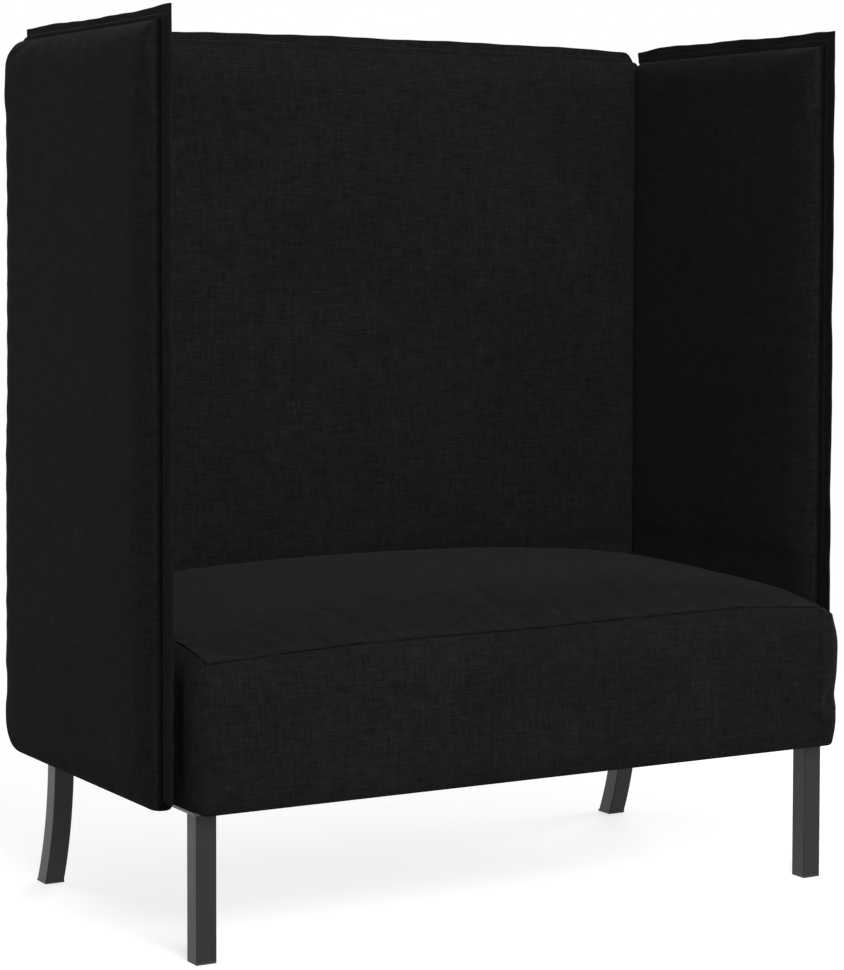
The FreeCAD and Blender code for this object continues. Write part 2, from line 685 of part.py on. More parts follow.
def make_legs():
    all_screws = []
    for row, at_front in (("front", True), ("rear", False)):
        tube, plate, glide, screws = leg_parts(at_front)
        for side, sign in SIDES:
            name = "%s_%s" % (row, side)
            nodes[name + "_leg"] = on_side(tube, sign)
            nodes[name + "_leg_plate"] = on_side(plate, sign)
            nodes[name + "_foot_glide"] = on_side(glide, sign)
            all_screws += [on_side(s, sign) for s in screws]
    nodes["leg_screws"] = Part.makeCompound(all_screws)
    return all_screws


def pair(shapes):
    """Right-hand solids with their left-hand twins, as one group."""
    return Part.makeCompound(shapes + [flip(s) for s in shapes])


def make_fasteners():
    nodes["wing_bolts"] = pair(wing_bolts)
    nodes["wing_bolt_washers"] = pair(wing_washers)
    nodes["wing_bolt_spacers"] = pair(wing_spacers)
    nodes["wing_tee_nuts"] = pair(wing_nuts)
    nodes["panel_screws"] = pair(panel_screws)
    nodes["back_bolts"] = Part.makeCompound(back_bolts)
    nodes["back_bolt_washers"] = Part.makeCompound(back_washers)
    nodes["back_bolt_spacers"] = Part.makeCompound(back_spacers)
    nodes["back_tee_nuts"] = Part.makeCompound(back_nuts)


leg_screws = make_legs()
make_frame(leg_screws)
make_springs()
make_seat(leg_screws)
make_back()
make_wings()
make_fasteners()

os.makedirs("parts", exist_ok=True)
for name, shape in sorted(nodes.items()):
    shape.exportStep(os.path.join("parts", name + ".step"))
    size = shape.BoundBox
    print("%-26s solids %2d valid %s  volume %10.0f  z %.1f..%.1f" % (
        name, len(shape.Solids), shape.isValid(), shape.Volume, size.ZMin, size.ZMax))
print("nodes", len(nodes), "width", overall_width, "depth", overall_depth, "height", settee_height)
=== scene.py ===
import math

import bmesh
import bpy
import numpy as np
from mathutils import Matrix, Vector


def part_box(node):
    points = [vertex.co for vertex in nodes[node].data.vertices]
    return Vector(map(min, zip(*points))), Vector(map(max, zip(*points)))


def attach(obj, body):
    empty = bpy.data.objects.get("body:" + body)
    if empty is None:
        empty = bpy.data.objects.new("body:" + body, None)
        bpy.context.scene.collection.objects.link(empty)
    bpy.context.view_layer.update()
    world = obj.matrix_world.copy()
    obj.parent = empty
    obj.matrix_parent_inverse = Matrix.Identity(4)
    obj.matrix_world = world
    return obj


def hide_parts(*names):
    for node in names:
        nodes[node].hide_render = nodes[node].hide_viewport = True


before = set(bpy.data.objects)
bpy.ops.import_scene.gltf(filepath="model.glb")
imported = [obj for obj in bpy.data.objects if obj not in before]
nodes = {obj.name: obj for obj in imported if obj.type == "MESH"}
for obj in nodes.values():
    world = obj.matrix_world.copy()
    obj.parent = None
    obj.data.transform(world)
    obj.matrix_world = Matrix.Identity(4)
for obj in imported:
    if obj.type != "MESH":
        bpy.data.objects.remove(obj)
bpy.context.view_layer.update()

print("settee: CAD frame loaded,", len(nodes), "nodes")


# Helpers

def linkPiece(name, data):
    piece = bpy.data.objects.new(name, data)
    bpy.context.scene.collection.objects.link(piece)
    return piece


def clamp(value, low=0.0, high=1.0):
    return min(max(value, low), high)


# Camera, floor and light

cameraSizes = {
    "place": (-2.0436, -3.4954, 0.9618),
    "tilt": 87.09,                  # degrees from straight down
    "turn": -30.03,
    "roll": 0.138,
    "lens": 101.49,
    "shiftY": -0.1134,
}

cameraData = bpy.data.cameras.new("photoCamera")
cameraData.lens = cameraSizes["lens"]
cameraData.sensor_width = 36.0
cameraData.shift_y = cameraSizes["shiftY"]
cameraData.clip_end = 100.0

camera = linkPiece("photoCamera", cameraData)
camera.location = cameraSizes["place"]
facing = (Matrix.Rotation(math.radians(cameraSizes["turn"]), 3, "Z")
          @ Matrix.Rotation(math.radians(cameraSizes["tilt"]), 3, "X")
          @ Matrix.Rotation(math.radians(cameraSizes["roll"]), 3, "Z"))
camera.rotation_euler = facing.to_euler()
bpy.context.scene.camera = camera
bpy.context.scene.view_settings.view_transform = "Standard"


def put(tree, kind, inputs=None, **settings):
    made = tree.nodes.new(kind)
    for name, value in settings.items():
        setattr(made, name, value)
    for key, value in (inputs or {}).items():
        if isinstance(value, bpy.types.NodeSocket):
            tree.links.new(value, made.inputs[key])
        else:
            made.inputs[key].default_value = value
    return made


def maths(tree, operation, first, second=0.0, third=None, clamp=False):
    inputs = {0: first, 1: second}
    if third is not None:
        inputs[2] = third
    return put(tree, "ShaderNodeMath", inputs, operation=operation, use_clamp=clamp).outputs[0]


def mixShader(tree, factor, first, second):
    return put(tree, "ShaderNodeMixShader", {0: factor, 1: first, 2: second}).outputs[0]


def seenDirectly(tree):     # 1 for what the camera, a mirror or glass sees, 0 for light on the object
    rays = put(tree, "ShaderNodeLightPath").outputs
    mirrored = maths(tree, "MAXIMUM", rays["Is Camera Ray"], rays["Is Glossy Ray"])
    return maths(tree, "MAXIMUM", mirrored, rays["Is Transmission Ray"])


studio = {
    "worldStrength": 0.16,
    "worldColour": (1.0, 0.94, 0.95, 1.0),
    "white": (1.0, 1.0, 1.0, 1.0),
    "lamps": [      # place, aimed at, width, watts, colour
        ((-0.9, -3.8, 2.6), (0.0, 0.0, 0.7), 2.2, 215.0, (0.98, 1.0, 0.99)),
        ((0.3, -0.6, 4.2), (0.0, 0.0, 0.6), 2.6, 20.0, (0.93, 0.98, 1.0)),
        ((-2.2, 3.6, 0.75), (-0.3, 0.0, 0.3), 1.5, 48.0, (1.0, 0.95, 0.95)),
        ((3.2, 3.4, 2.8), (0.0, 0.0, 0.8), 2.4, 100.0, (1.0, 1.0, 1.0)),
        ((4.2, 0.2, 1.6), (0.0, 0.0, 0.7), 2.2, 80.0, (1.0, 1.0, 1.0)),
    ],
    "floorSize": 14.0,
    "floorColour": (0.3, 0.29, 0.29, 1.0),      # what lights the settee from below
    "seenFloor": (0.45, 0.45, 0.45, 1.0),       # what the camera sees of it, under the glow
    "floorGlow": 0.72,
    "floorFade": (1.2, 2.6),        # metres from the settee over which the floor goes to plain white
}


def emptyTree(holder):
    holder.use_nodes = True
    holder.node_tree.nodes.clear()
    return holder.node_tree


def makeWorld():
    world = bpy.data.worlds.new("paleStudio")
    bpy.context.scene.world = world
    tree = emptyTree(world)
    lit = put(tree, "ShaderNodeBackground",
              {"Color": studio["worldColour"], "Strength": studio["worldStrength"]})
    white = put(tree, "ShaderNodeBackground", {"Color": studio["white"], "Strength": 1.0})
    both = mixShader(tree, seenDirectly(tree), lit.outputs[0], white.outputs[0])
    put(tree, "ShaderNodeOutputWorld", {"Surface": both})


def makeLamps():
    for number, (place, aim, width, watts, colour) in enumerate(studio["lamps"]):
        lamp = bpy.data.lights.new("softLamp%d" % number, "AREA")
        lamp.shape = "SQUARE"
        lamp.size = width
        lamp.energy = watts
        lamp.color = colour
        holder = linkPiece(lamp.name, lamp)
        holder.location = place
        holder.rotation_euler = (Vector(aim) - Vector(place)).to_track_quat("-Z", "Y").to_euler()


def makeFloor():
    half = studio["floorSize"] / 2
    corners = [(-half, -half, 0), (half, -half, 0), (half, half, 0), (-half, half, 0)]
    mesh = bpy.data.meshes.new("studioFloor")
    mesh.from_pydata(corners, [], [(0, 1, 2, 3)])
    floor = linkPiece("studioFloor", mesh)
    paint = bpy.data.materials.new("paleFloor")
    tree = emptyTree(paint)
    matt = put(tree, "ShaderNodeBsdfDiffuse", {"Color": studio["floorColour"]})
    plain = put(tree, "ShaderNodeBsdfDiffuse", {"Color": studio["seenFloor"]})
    glow = put(tree, "ShaderNodeEmission", {"Color": studio["white"], "Strength": studio["floorGlow"]})
    white = put(tree, "ShaderNodeEmission", {"Color": studio["white"], "Strength": 1.0})
    lifted = put(tree, "ShaderNodeAddShader", {0: plain.outputs[0], 1: glow.outputs[0]})
    places = put(tree, "ShaderNodeTexCoord").outputs
    away = put(tree, "ShaderNodeVectorMath", {0: places["Object"]}, operation="LENGTH").outputs["Value"]
    near, far = studio["floorFade"]
    fade = put(tree, "ShaderNodeMapRange", {"Value": away, "From Min": near, "From Max": far},
               interpolation_type="SMOOTHSTEP")
    seen = mixShader(tree, fade.outputs[0], lifted.outputs[0], white.outputs[0])
    both = mixShader(tree, seenDirectly(tree), matt.outputs[0], seen)
    put(tree, "ShaderNodeOutputMaterial", {"Surface": both})
    mesh.materials.append(paint)


makeWorld()
makeLamps()
makeFloor()
print("settee: studio ready")


# Shader groups that several finishes share

def newGroup(name, numbers, outputs):
    group = bpy.data.node_groups.new(name, "ShaderNodeTree")
    group.interface.new_socket(name="Vector", in_out="INPUT", socket_type="NodeSocketVector")
    for label, value in numbers.items():
        socket = group.interface.new_socket(name=label, in_out="INPUT", socket_type="NodeSocketFloat")
        socket.default_value = value
    for label in outputs:
        group.interface.new_socket(name=label, in_out="OUTPUT", socket_type="NodeSocketFloat")
    return group, group.nodes.new("NodeGroupInput").outputs, group.nodes.new("NodeGroupOutput").inputs


def noiseOf(tree, vector, scale, detail, **more):
    inputs = {"Vector": vector, "Scale": scale, "Detail": detail, **more}
    return put(tree, "ShaderNodeTexNoise", inputs).outputs["Fac"]


def scaledBy(tree, vector, factor):
    return put(tree, "ShaderNodeVectorMath", {0: vector, "Scale": factor}, operation="SCALE").outputs[0]


def makeThreadGroup():      # slubby threads of a linen-look cloth in both directions
    numbers = {"Thread Pitch": 0.0011, "Slub Length": 18.0, "Contrast": 1.0}
    group, given, made = newGroup("linenThreads", numbers, ["Threads", "Height"])
    split = put(group, "ShaderNodeSeparateXYZ", {0: given["Vector"]}).outputs
    across = maths(group, "DIVIDE", split[0], given["Thread Pitch"])
    along = maths(group, "DIVIDE", split[1], given["Thread Pitch"])
    total = 0.0
    for first, second, shift in ((across, along, 0.0), (along, across, 37.3)):
        for width, stretch, share in ((1.0, 1.0, 0.62), (2.6, 2.2, 0.38)):
            fine = maths(group, "DIVIDE", first, width)
            slubs = maths(group, "DIVIDE", second, given["Slub Length"])
            slow = maths(group, "DIVIDE", slubs, stretch)
            vector = put(group, "ShaderNodeCombineXYZ", {0: fine, 1: slow, 2: shift + width})
            noise = noiseOf(group, vector.outputs[0], 1.0, 1.5, Roughness=0.6)
            total = maths(group, "MULTIPLY_ADD", maths(group, "SUBTRACT", noise, 0.5), share, total)
    threads = maths(group, "MULTIPLY_ADD", total, given["Contrast"], 0.5, clamp=True)
    warp = maths(group, "SINE", maths(group, "MULTIPLY", across, math.pi))
    weft = maths(group, "SINE", maths(group, "MULTIPLY", along, math.pi))
    height = maths(group, "MULTIPLY_ADD", maths(group, "MULTIPLY", warp, weft), 0.35, threads)
    group.links.new(threads, made["Threads"])
    group.links.new(height, made["Height"])
    return group


def makeMottleGroup():      # slow drift of tone over a surface
    group, given, made = newGroup("toneDrift", {"Size": 0.12, "Strength": 0.2}, ["Tone"])
    scaled = scaledBy(group, given["Vector"], maths(group, "DIVIDE", 1.0, given["Size"]))
    noise = noiseOf(group, scaled, 1.0, 3.0)
    drift = maths(group, "MULTIPLY_ADD", maths(group, "SUBTRACT", noise, 0.5), given["Strength"], 1.0)
    group.links.new(drift, made["Tone"])
    return group


def makeSpeckGroup():       # lint, dust or coating specks: small spots where a cell's own value is high
    numbers = {"Spacing": 0.02, "Size": 0.12, "Share": 0.4}
    group, given, made = newGroup("fineSpecks", numbers, ["Mask"])
    scaled = scaledBy(group, given["Vector"], maths(group, "DIVIDE", 1.0, given["Spacing"]))
    cells = put(group, "ShaderNodeTexVoronoi", {"Vector": scaled, "Scale": 1.0}).outputs
    spot = maths(group, "LESS_THAN", cells["Distance"], given["Size"])
    pick = put(group, "ShaderNodeSeparateColor", {0: cells["Color"]})
    chosen = maths(group, "LESS_THAN", pick.outputs[0], given["Share"])
    group.links.new(maths(group, "MULTIPLY", spot, chosen), made["Mask"])
    return group


def makeGrainGroup():       # growth rings and pores of sawn timber or veneer
    numbers = {"Ring Spacing": 0.006, "Wander": 1.5}
    group, given, made = newGroup("woodGrain", numbers, ["Rings", "Pores"])
    scaled = scaledBy(group, given["Vector"], maths(group, "DIVIDE", 1.0, given["Ring Spacing"]))
    ringed = {"Vector": scaled, "Scale": 0.5, "Distortion": given["Wander"], "Detail": 3.0,
              "Detail Scale": 0.4}
    rings = put(group, "ShaderNodeTexWave", ringed, bands_direction="Z")
    group.links.new(rings.outputs["Fac"], made["Rings"])
    group.links.new(noiseOf(group, scaled, 9.0, 4.0), made["Pores"])
    return group


threadGroup = makeThreadGroup()
mottleGroup = makeMottleGroup()
speckGroup = makeSpeckGroup()
grainGroup = makeGrainGroup()


# Finishes

def newFinish(name, **uniform):
    finish = bpy.data.materials.new(name)
    finish.use_nodes = True
    tree = finish.node_tree
    shader = tree.nodes["Principled BSDF"]
    for key, value in uniform.items():
        shader.inputs[key.replace("_", " ")].default_value = value
    return finish, tree, shader, put(tree, "ShaderNodeTexCoord").outputs


def wire(tree, shader, **sockets):
    for key, socket in sockets.items():
        tree.links.new(socket, shader.inputs[key.replace("_", " ")])


def mixColour(tree, factor, dark, light):
    made = put(tree, "ShaderNodeMix", {"Factor": factor}, data_type="RGBA")
    for index, colour in ((6, dark), (7, light)):
        if isinstance(colour, bpy.types.NodeSocket):
            tree.links.new(colour, made.inputs[index])
        else:
            made.inputs[index].default_value = (*colour, 1.0)
    return made.outputs[2]


def useGroup(tree, group, vector, **inputs):
    values = {key.replace("_", " "): value for key, value in inputs.items()}
    return put(tree, "ShaderNodeGroup", {"Vector": vector, **values}, node_tree=group).outputs


def toned(tree, colour, places, size, strength):
    drift = useGroup(tree, mottleGroup, places["Object"], Size=size, Strength=strength)
    return scaledBy(tree, colour, drift["Tone"])


def bumpFrom(tree, shader, height, distance):
    bump = put(tree, "ShaderNodeBump", {"Height": height, "Distance": distance})
    wire(tree, shader, Normal=bump.outputs[0])


linen = {
    "dark": (0.0031, 0.0036, 0.0035),
    "light": (0.0150, 0.0168, 0.0163),
    "lint": (0.035, 0.037, 0.037),
    # painted shade: the near-black that the cloth is darkened to along its seams
    "seamShade": (0.0009, 0.001, 0.001),
    "pitch": 0.0012,
    "slubLength": 16.0,
    "contrast": 1.45,
    "bump": 0.0004,
    "pullBump": 0.0016,
}


def makeLinen():        # its pads hold two marks: painted shade where two cloths meet, and gathers beside a seam
    finish, tree, shader, places = newFinish(
        "nearBlackLinen", Roughness=0.92, Specular_IOR_Level=0.014, Sheen_Weight=0.02, Sheen_Roughness=0.45,
        Sheen_Tint=(0.9, 0.95, 1.0, 1.0))
    threads = useGroup(tree, threadGroup, places["UV"], Thread_Pitch=linen["pitch"],
                       Slub_Length=linen["slubLength"], Contrast=linen["contrast"])
    specks = useGroup(tree, speckGroup, places["Object"], Spacing=0.035, Size=0.02, Share=0.25)["Mask"]
    cloth = mixColour(tree, threads["Threads"], linen["dark"], linen["light"])
    linted = mixColour(tree, specks, toned(tree, cloth, places, 0.16, 0.35), linen["lint"])
    # painted shade: the cloth darkens towards near-black along each seam
    seamShade = put(tree, "ShaderNodeAttribute", attribute_name="seamShade").outputs["Fac"]
    wire(tree, shader, Base_Color=mixColour(tree, seamShade, linted, linen["seamShade"]),
         Roughness=maths(tree, "MULTIPLY_ADD", threads["Threads"], -0.12, 0.96))
    pull = put(tree, "ShaderNodeAttribute", attribute_name="pull").outputs["Fac"]
    gathered = maths(tree, "MULTIPLY", noiseOf(tree, places["Object"], 70.0, 1.0), pull)
    soft = put(tree, "ShaderNodeBump", {"Height": gathered, "Distance": linen["pullBump"]})
    fine = put(tree, "ShaderNodeBump", {"Height": threads["Height"], "Distance": linen["bump"],
                                        "Normal": soft.outputs[0]})
    wire(tree, shader, Normal=fine.outputs[0])
    return finish


def makeThread():
    finish, tree, shader, places = newFinish("blackSewingThread", Roughness=0.6, Specular_IOR_Level=0.25)
    plies = noiseOf(tree, places["Object"], 2600.0, 1.0)
    wire(tree, shader, Base_Color=mixColour(tree, plies, (0.006, 0.0065, 0.007), (0.022, 0.023, 0.024)))
    bumpFrom(tree, shader, plies, 0.0001)
    return finish


def makeDustCloth():
    finish, tree, shader, places = newFinish("spunDustCloth", Roughness=0.95, Specular_IOR_Level=0.1)
    fibres = noiseOf(tree, places["Object"], 380.0, 6.0, Distortion=1.6)
    pressed = useGroup(tree, speckGroup, places["Object"], Spacing=0.0028, Size=0.3, Share=1.0)["Mask"]
    fluff = mixColour(tree, fibres, (0.006, 0.006, 0.0065), (0.03, 0.03, 0.031))
    wire(tree, shader, Base_Color=mixColour(tree, pressed, fluff, (0.005, 0.005, 0.005)))
    bumpFrom(tree, shader, fibres, 0.0003)
    return finish


def makePowderCoat(name, dark, light, roughness, shine):
    finish, tree, shader, places = newFinish(name, Specular_IOR_Level=shine)
    peel = noiseOf(tree, places["Object"], 900.0, 2.0)
    scuffs = useGroup(tree, speckGroup, places["Object"], Spacing=0.02, Size=0.05, Share=0.2)["Mask"]
    body = toned(tree, mixColour(tree, peel, dark, light), places, 0.05, 0.25)
    wire(tree, shader, Base_Color=mixColour(tree, scuffs, body, tuple(3 * c for c in light)),
         Roughness=maths(tree, "MULTIPLY_ADD", peel, 0.2, roughness - 0.1))
    bumpFrom(tree, shader, peel, 0.00012)
    return finish


def makePlastic():
    finish, tree, shader, places = newFinish("blackGlidePlastic", Specular_IOR_Level=0.4)
    grain = noiseOf(tree, places["Object"], 1400.0, 3.0)
    scratches = noiseOf(tree, places["Object"], 160.0, 5.0, Distortion=2.0)
    wire(tree, shader, Base_Color=mixColour(tree, scratches, (0.012, 0.012, 0.012), (0.035, 0.035, 0.036)),
         Roughness=maths(tree, "MULTIPLY_ADD", grain, 0.25, 0.42))
    bumpFrom(tree, shader, grain, 0.00008)
    return finish


def makeWood(name, dark, light, spacing, stretch, wander):
    finish, tree, shader, places = newFinish(name, Specular_IOR_Level=0.3)
    drawn = put(tree, "ShaderNodeMapping", {"Vector": places["Object"], "Scale": stretch}).outputs[0]
    grain = useGroup(tree, grainGroup, drawn, Ring_Spacing=spacing, Wander=wander)
    ringed = mixColour(tree, grain["Rings"], light, dark)
    pored = mixColour(tree, maths(tree, "MULTIPLY", grain["Pores"], 0.35), ringed, dark)
    wire(tree, shader, Base_Color=toned(tree, pored, places, 0.2, 0.3),
         Roughness=maths(tree, "MULTIPLY_ADD", grain["Pores"], 0.2, 0.55))
    bumpFrom(tree, shader, grain["Pores"], 0.0002)
    return finish


def makeSteel(name, dark, light, roughness):
    finish, tree, shader, places = newFinish(name, Metallic=1.0)
    spangle = put(tree, "ShaderNodeTexVoronoi", {"Vector": places["Object"], "Scale": 420.0}).outputs
    smear = noiseOf(tree, places["Object"], 90.0, 5.0)
    patches = put(tree, "ShaderNodeSeparateColor", {0: spangle["Color"]}).outputs[0]
    blend = maths(tree, "MULTIPLY_ADD", patches, 0.4, maths(tree, "MULTIPLY", smear, 0.6))
    wire(tree, shader, Base_Color=mixColour(tree, blend, dark, light),
         Roughness=maths(tree, "MULTIPLY_ADD", smear, 0.25, roughness - 0.12))
    bumpFrom(tree, shader, smear, 0.00006)
    return finish


def makeFelt():
    finish, tree, shader, places = newFinish("greyNeedleFelt", Roughness=0.97, Specular_IOR_Level=0.1)
    tufts = noiseOf(tree, places["Object"], 240.0, 8.0, Distortion=2.2)
    flecks = useGroup(tree, speckGroup, places["Object"], Spacing=0.006, Size=0.28, Share=0.3)["Mask"]
    base = mixColour(tree, tufts, (0.06, 0.06, 0.065), (0.2, 0.2, 0.2))
    wire(tree, shader, Base_Color=mixColour(tree, flecks, base, (0.1, 0.07, 0.05)))
    bumpFrom(tree, shader, tufts, 0.0008)
    return finish


linenFinish = makeLinen()
threadFinish = makeThread()
dustFinish = makeDustCloth()
coatFinish = makePowderCoat("charcoalPowderCoat", (0.005, 0.0054, 0.0056), (0.0095, 0.0101, 0.0104),
                            0.42, 0.32)
plateFinish = makePowderCoat("greyPlateCoat", (0.10, 0.105, 0.11), (0.15, 0.155, 0.16), 0.45, 0.5)
plasticFinish = makePlastic()
plyFinish = makeWood("birchPlywood", (0.42, 0.29, 0.17), (0.66, 0.51, 0.34), 0.011, (1.0, 1.0, 0.12), 2.5)
timberFinish = makeWood("pineTimber", (0.45, 0.27, 0.12), (0.72, 0.53, 0.31), 0.005, (0.08, 1.0, 1.0), 1.6)
springFinish = makeSteel("oiledSpringSteel", (0.16, 0.16, 0.17), (0.34, 0.34, 0.35), 0.38)
zincFinish = makeSteel("zincPlatedSteel", (0.52, 0.53, 0.55), (0.74, 0.75, 0.76), 0.36)
feltFinish = makeFelt()
print("settee: finishes ready")


# CAD nodes that stay

keptFinishes = {
    coatFinish: ["leg"],
    plateFinish: ["leg_plate"],
    plasticFinish: ["foot_glide"],
    plyFinish: ["board"],
    timberFinish: ["rail", "corner_blocks"],
    springFinish: ["springs", "clips"],
    zincFinish: ["bolts", "washers", "spacers", "nuts", "screws"],
    feltFinish: ["insulator"],
}

for finish, endings in keptFinishes.items():
    for name, holder in nodes.items():
        if name.endswith(tuple(endings)):
            for slot in holder.material_slots:
                slot.material = finish


# Slabs of upholstery

def roundOffsets(radius, count):        # grid lines that follow a quarter round
    return [radius * (1 - math.cos(math.pi / 2 * k / count)) for k in range(count + 1)]


def cornerCut(radius, depth):           # how far a rounded corner draws a row of the grid in
    return radius - math.sqrt(radius ** 2 - (radius - depth) ** 2) if depth < radius else 0.0


def outlineDistance(u, v, span, corners):
    u0, u1, v0, v1 = span
    left, right, low, high = u - u0, u1 - u, v - v0, v1 - v
    distance = min(left, right, low, high)
    for radius, a, b in ((corners[0], left, low), (corners[1], right, low),
                         (corners[2], right, high), (corners[3], left, high)):
        if radius and a < radius and b < radius:
            distance = radius - math.hypot(radius - a, radius - b)
    return max(distance, 0.0)


def slabProfile(u, v, span, corners, edges, half):
    # half thickness where each edge has its own round: left, right, low, high
    u0, u1, v0, v1 = span
    depths = (u - u0, u1 - u, v - v0, v1 - v)

    def rise(radius, depth):
        inner = max(radius - max(depth, 0.0), 0.0)
        return half - radius + math.sqrt(max(radius ** 2 - inner ** 2, 0.0))

    value = min(rise(radius, depth) for radius, depth in zip(edges, depths))
    pairs = ((0, 2), (1, 2), (1, 3), (0, 3))
    for radius, (a, b) in zip(corners, pairs):
        da, db = depths[a], depths[b]
        if radius and da < radius and db < radius:
            depth = radius - math.hypot(radius - da, radius - db)
            turn = math.atan2(radius - db, radius - da) / (math.pi / 2)
            value = rise(edges[a], depth) * (1 - turn) + rise(edges[b], depth) * turn
    return value


def gridCount(low, high, nearLow, nearHigh, step):
    free = (high - nearHigh[-1]) - (low + nearLow[-1])
    return max(int(round(free / step)), 1)


def gridLines(low, high, nearLow, nearHigh, count):
    # at the given offsets from both edges, and evenly spread between them
    start, end = low + nearLow[-1], high - nearHigh[-1]
    lines = [low + offset for offset in nearLow]
    lines += [start + (end - start) * (k / count) for k in range(1, count)]
    return lines + [high - offset for offset in reversed(nearHigh)]


weldDistance = 0.00002


def makeSlab(name, span, corners, near, step, toPoint, wallRows=0, toUv=None):
    # closed mesh of two gridded faces over a rounded rectangle, joined round their rim
    u0, u1, v0, v1 = span
    columns = gridCount(u0, u1, near[0], near[1], step)
    rows = gridCount(v0, v1, near[2], near[3], step)
    flat = []
    for v in gridLines(v0, v1, near[2], near[3], rows):
        left = u0 + max(cornerCut(corners[0], v - v0), cornerCut(corners[3], v1 - v))
        right = u1 - max(cornerCut(corners[1], v - v0), cornerCut(corners[2], v1 - v))
        flat.append([(u, v) for u in gridLines(left, right, near[0], near[1], columns)])
    nu, nv = len(flat[0]), len(flat)
    points = []
    for side in (1, -1):
        for row in flat:
            for u, v in row:
                points.append(Vector(toPoint(u, v, outlineDistance(u, v, span, corners), side)))
    rim = [i for i in range(nu)] + [j * nu + nu - 1 for j in range(1, nv)]
    rim += [(nv - 1) * nu + i for i in range(nu - 2, -1, -1)] + [j * nu for j in range(nv - 2, 0, -1)]
    total = nu * nv
    faces, faceUvs = [], []

    def lengths(indices):
        run = [0.0]
        for a, b in zip(indices, indices[1:]):
            run.append(run[-1] + (points[b] - points[a]).length)
        middle = run[len(run) // 2]
        return [value - middle for value in run]

    for side, base in ((1, 0), (-1, total)):
        acrossRun = lengths([base + (nv // 2) * nu + i for i in range(nu)])
        alongRun = lengths([base + j * nu + nu // 2 for j in range(nv)])
        for j in range(nv - 1):
            for i in range(nu - 1):
                quad = [(j, i), (j, i + 1), (j + 1, i + 1), (j + 1, i)]
                if side < 0:
                    quad.reverse()
                faces.append([base + a * nu + b for a, b in quad])
                faceUvs.append([(acrossRun[b], alongRun[a]) for a, b in quad])
    rings = [rim]
    for k in range(1, wallRows):
        ring = []
        for index in rim:
            share = k / wallRows
            ring.append(len(points))
            points.append(points[index].lerp(points[index + total], share))
        rings.append(ring)
    rings.append([index + total for index in rim])
    perimeter = [0.0]
    for a, b in zip(rim, rim[1:] + rim[:1]):
        perimeter.append(perimeter[-1] + (points[b] - points[a]).length)
    drop = [0.0]
    for upper, lower in zip(rings, rings[1:]):
        drop.append(drop[-1] + (points[lower[0]] - points[upper[0]]).length)
    for k in range(len(rings) - 1):
        for m in range(len(rim)):
            n = (m + 1) % len(rim)
            faces.append([rings[k][n], rings[k][m], rings[k + 1][m], rings[k + 1][n]])
            faceUvs.append([(perimeter[m + 1], -drop[k]), (perimeter[m], -drop[k]),
                            (perimeter[m], -drop[k + 1]), (perimeter[m + 1], -drop[k + 1])])

    mesh = bpy.data.meshes.new(name)
    mesh.from_pydata([tuple(p) for p in points], [], faces)
    layer = mesh.uv_layers.new(name="cloth")
    flatUvs = [value for face in faceUvs for pair in face for value in pair]
    layer.data.foreach_set("uv", flatUvs)
    if toUv is not None:
        for polygon in mesh.polygons:
            for loop in polygon.loop_indices:
                place = mesh.vertices[mesh.loops[loop].vertex_index].co
                found = toUv(polygon.center, place)
                if found is not None:
                    layer.data[loop].uv = found
    work = bmesh.new()
    work.from_mesh(mesh)
    bmesh.ops.remove_doubles(work, verts=work.verts, dist=weldDistance)
    bmesh.ops.dissolve_degenerate(work, edges=work.edges, dist=weldDistance / 2)
    bmesh.ops.recalc_face_normals(work, faces=work.faces)
    work.to_mesh(mesh)
    work.free()
    mesh.materials.append(linenFinish)
    return linkPiece(name, mesh)


cushioning = {
    "quality": 5,
    "mass": 0.3,
    "bending": 0.6,
    "pinning": 5.0,
    "pressure": 4.0,
    "frames": 20,
    "stiffness": 18.0,
    "slack": -0.012,        # the cloth is cut this much larger than the pad
}


def evaluated(piece):
    return piece.evaluated_get(bpy.context.evaluated_depsgraph_get())


def fillPad(piece, cap, isHeld):
    # presses the cloth out from inside, lets no point move further than cap, and keeps the result
    mesh = piece.data
    before = np.array([v.co[:] for v in mesh.vertices])
    held = piece.vertex_groups.new(name="held")
    held.add([v.index for v in mesh.vertices if isHeld(v.co)], 1.0, "REPLACE")
    scene = bpy.context.scene
    cloth = piece.modifiers.new("pressedCloth", "CLOTH")
    settings = cloth.settings
    settings.quality = cushioning["quality"]
    settings.mass = cushioning["mass"]
    settings.tension_stiffness = cushioning["stiffness"]
    settings.compression_stiffness = cushioning["stiffness"]
    settings.bending_stiffness = cushioning["bending"]
    settings.shrink_min = cushioning["slack"]
    settings.use_pressure = True
    settings.uniform_pressure_force = cushioning["pressure"]
    settings.effector_weights.gravity = 0.0
    settings.vertex_group_mass = "held"
    settings.pin_stiffness = cushioning["pinning"]
    cloth.collision_settings.use_collision = False
    cloth.point_cache.frame_start = 1
    cloth.point_cache.frame_end = cushioning["frames"]
    for number in range(1, cushioning["frames"] + 1):
        scene.frame_set(number)
    shaped = evaluated(piece).to_mesh()
    after = np.array([v.co[:] for v in shaped.vertices])
    evaluated(piece).to_mesh_clear()
    piece.modifiers.remove(cloth)
    piece.vertex_groups.clear()
    scene.frame_set(1)
    move = after - before
    length = np.linalg.norm(move, axis=1, keepdims=True)
    limit = np.where(length > 0, cap * np.tanh(length / cap) / np.maximum(length, 1e-9), 0.0)
    settled = before + move * limit
    mesh.vertices.foreach_set("co", settled.ravel())
    mesh.update()
    print("settee: %s filled, largest move %.1f mm" % (piece.name, 1000 * float(length.max())))
    return before


def adjust(piece, before, change):
    # moves each vertex by change(its place before filling, its place now, its normal)
    mesh = piece.data
    normals = [v.normal.copy() for v in mesh.vertices]
    for vertex, start, normal in zip(mesh.vertices, before, normals):
        vertex.co = change(start, vertex.co, normal)
    mesh.update()


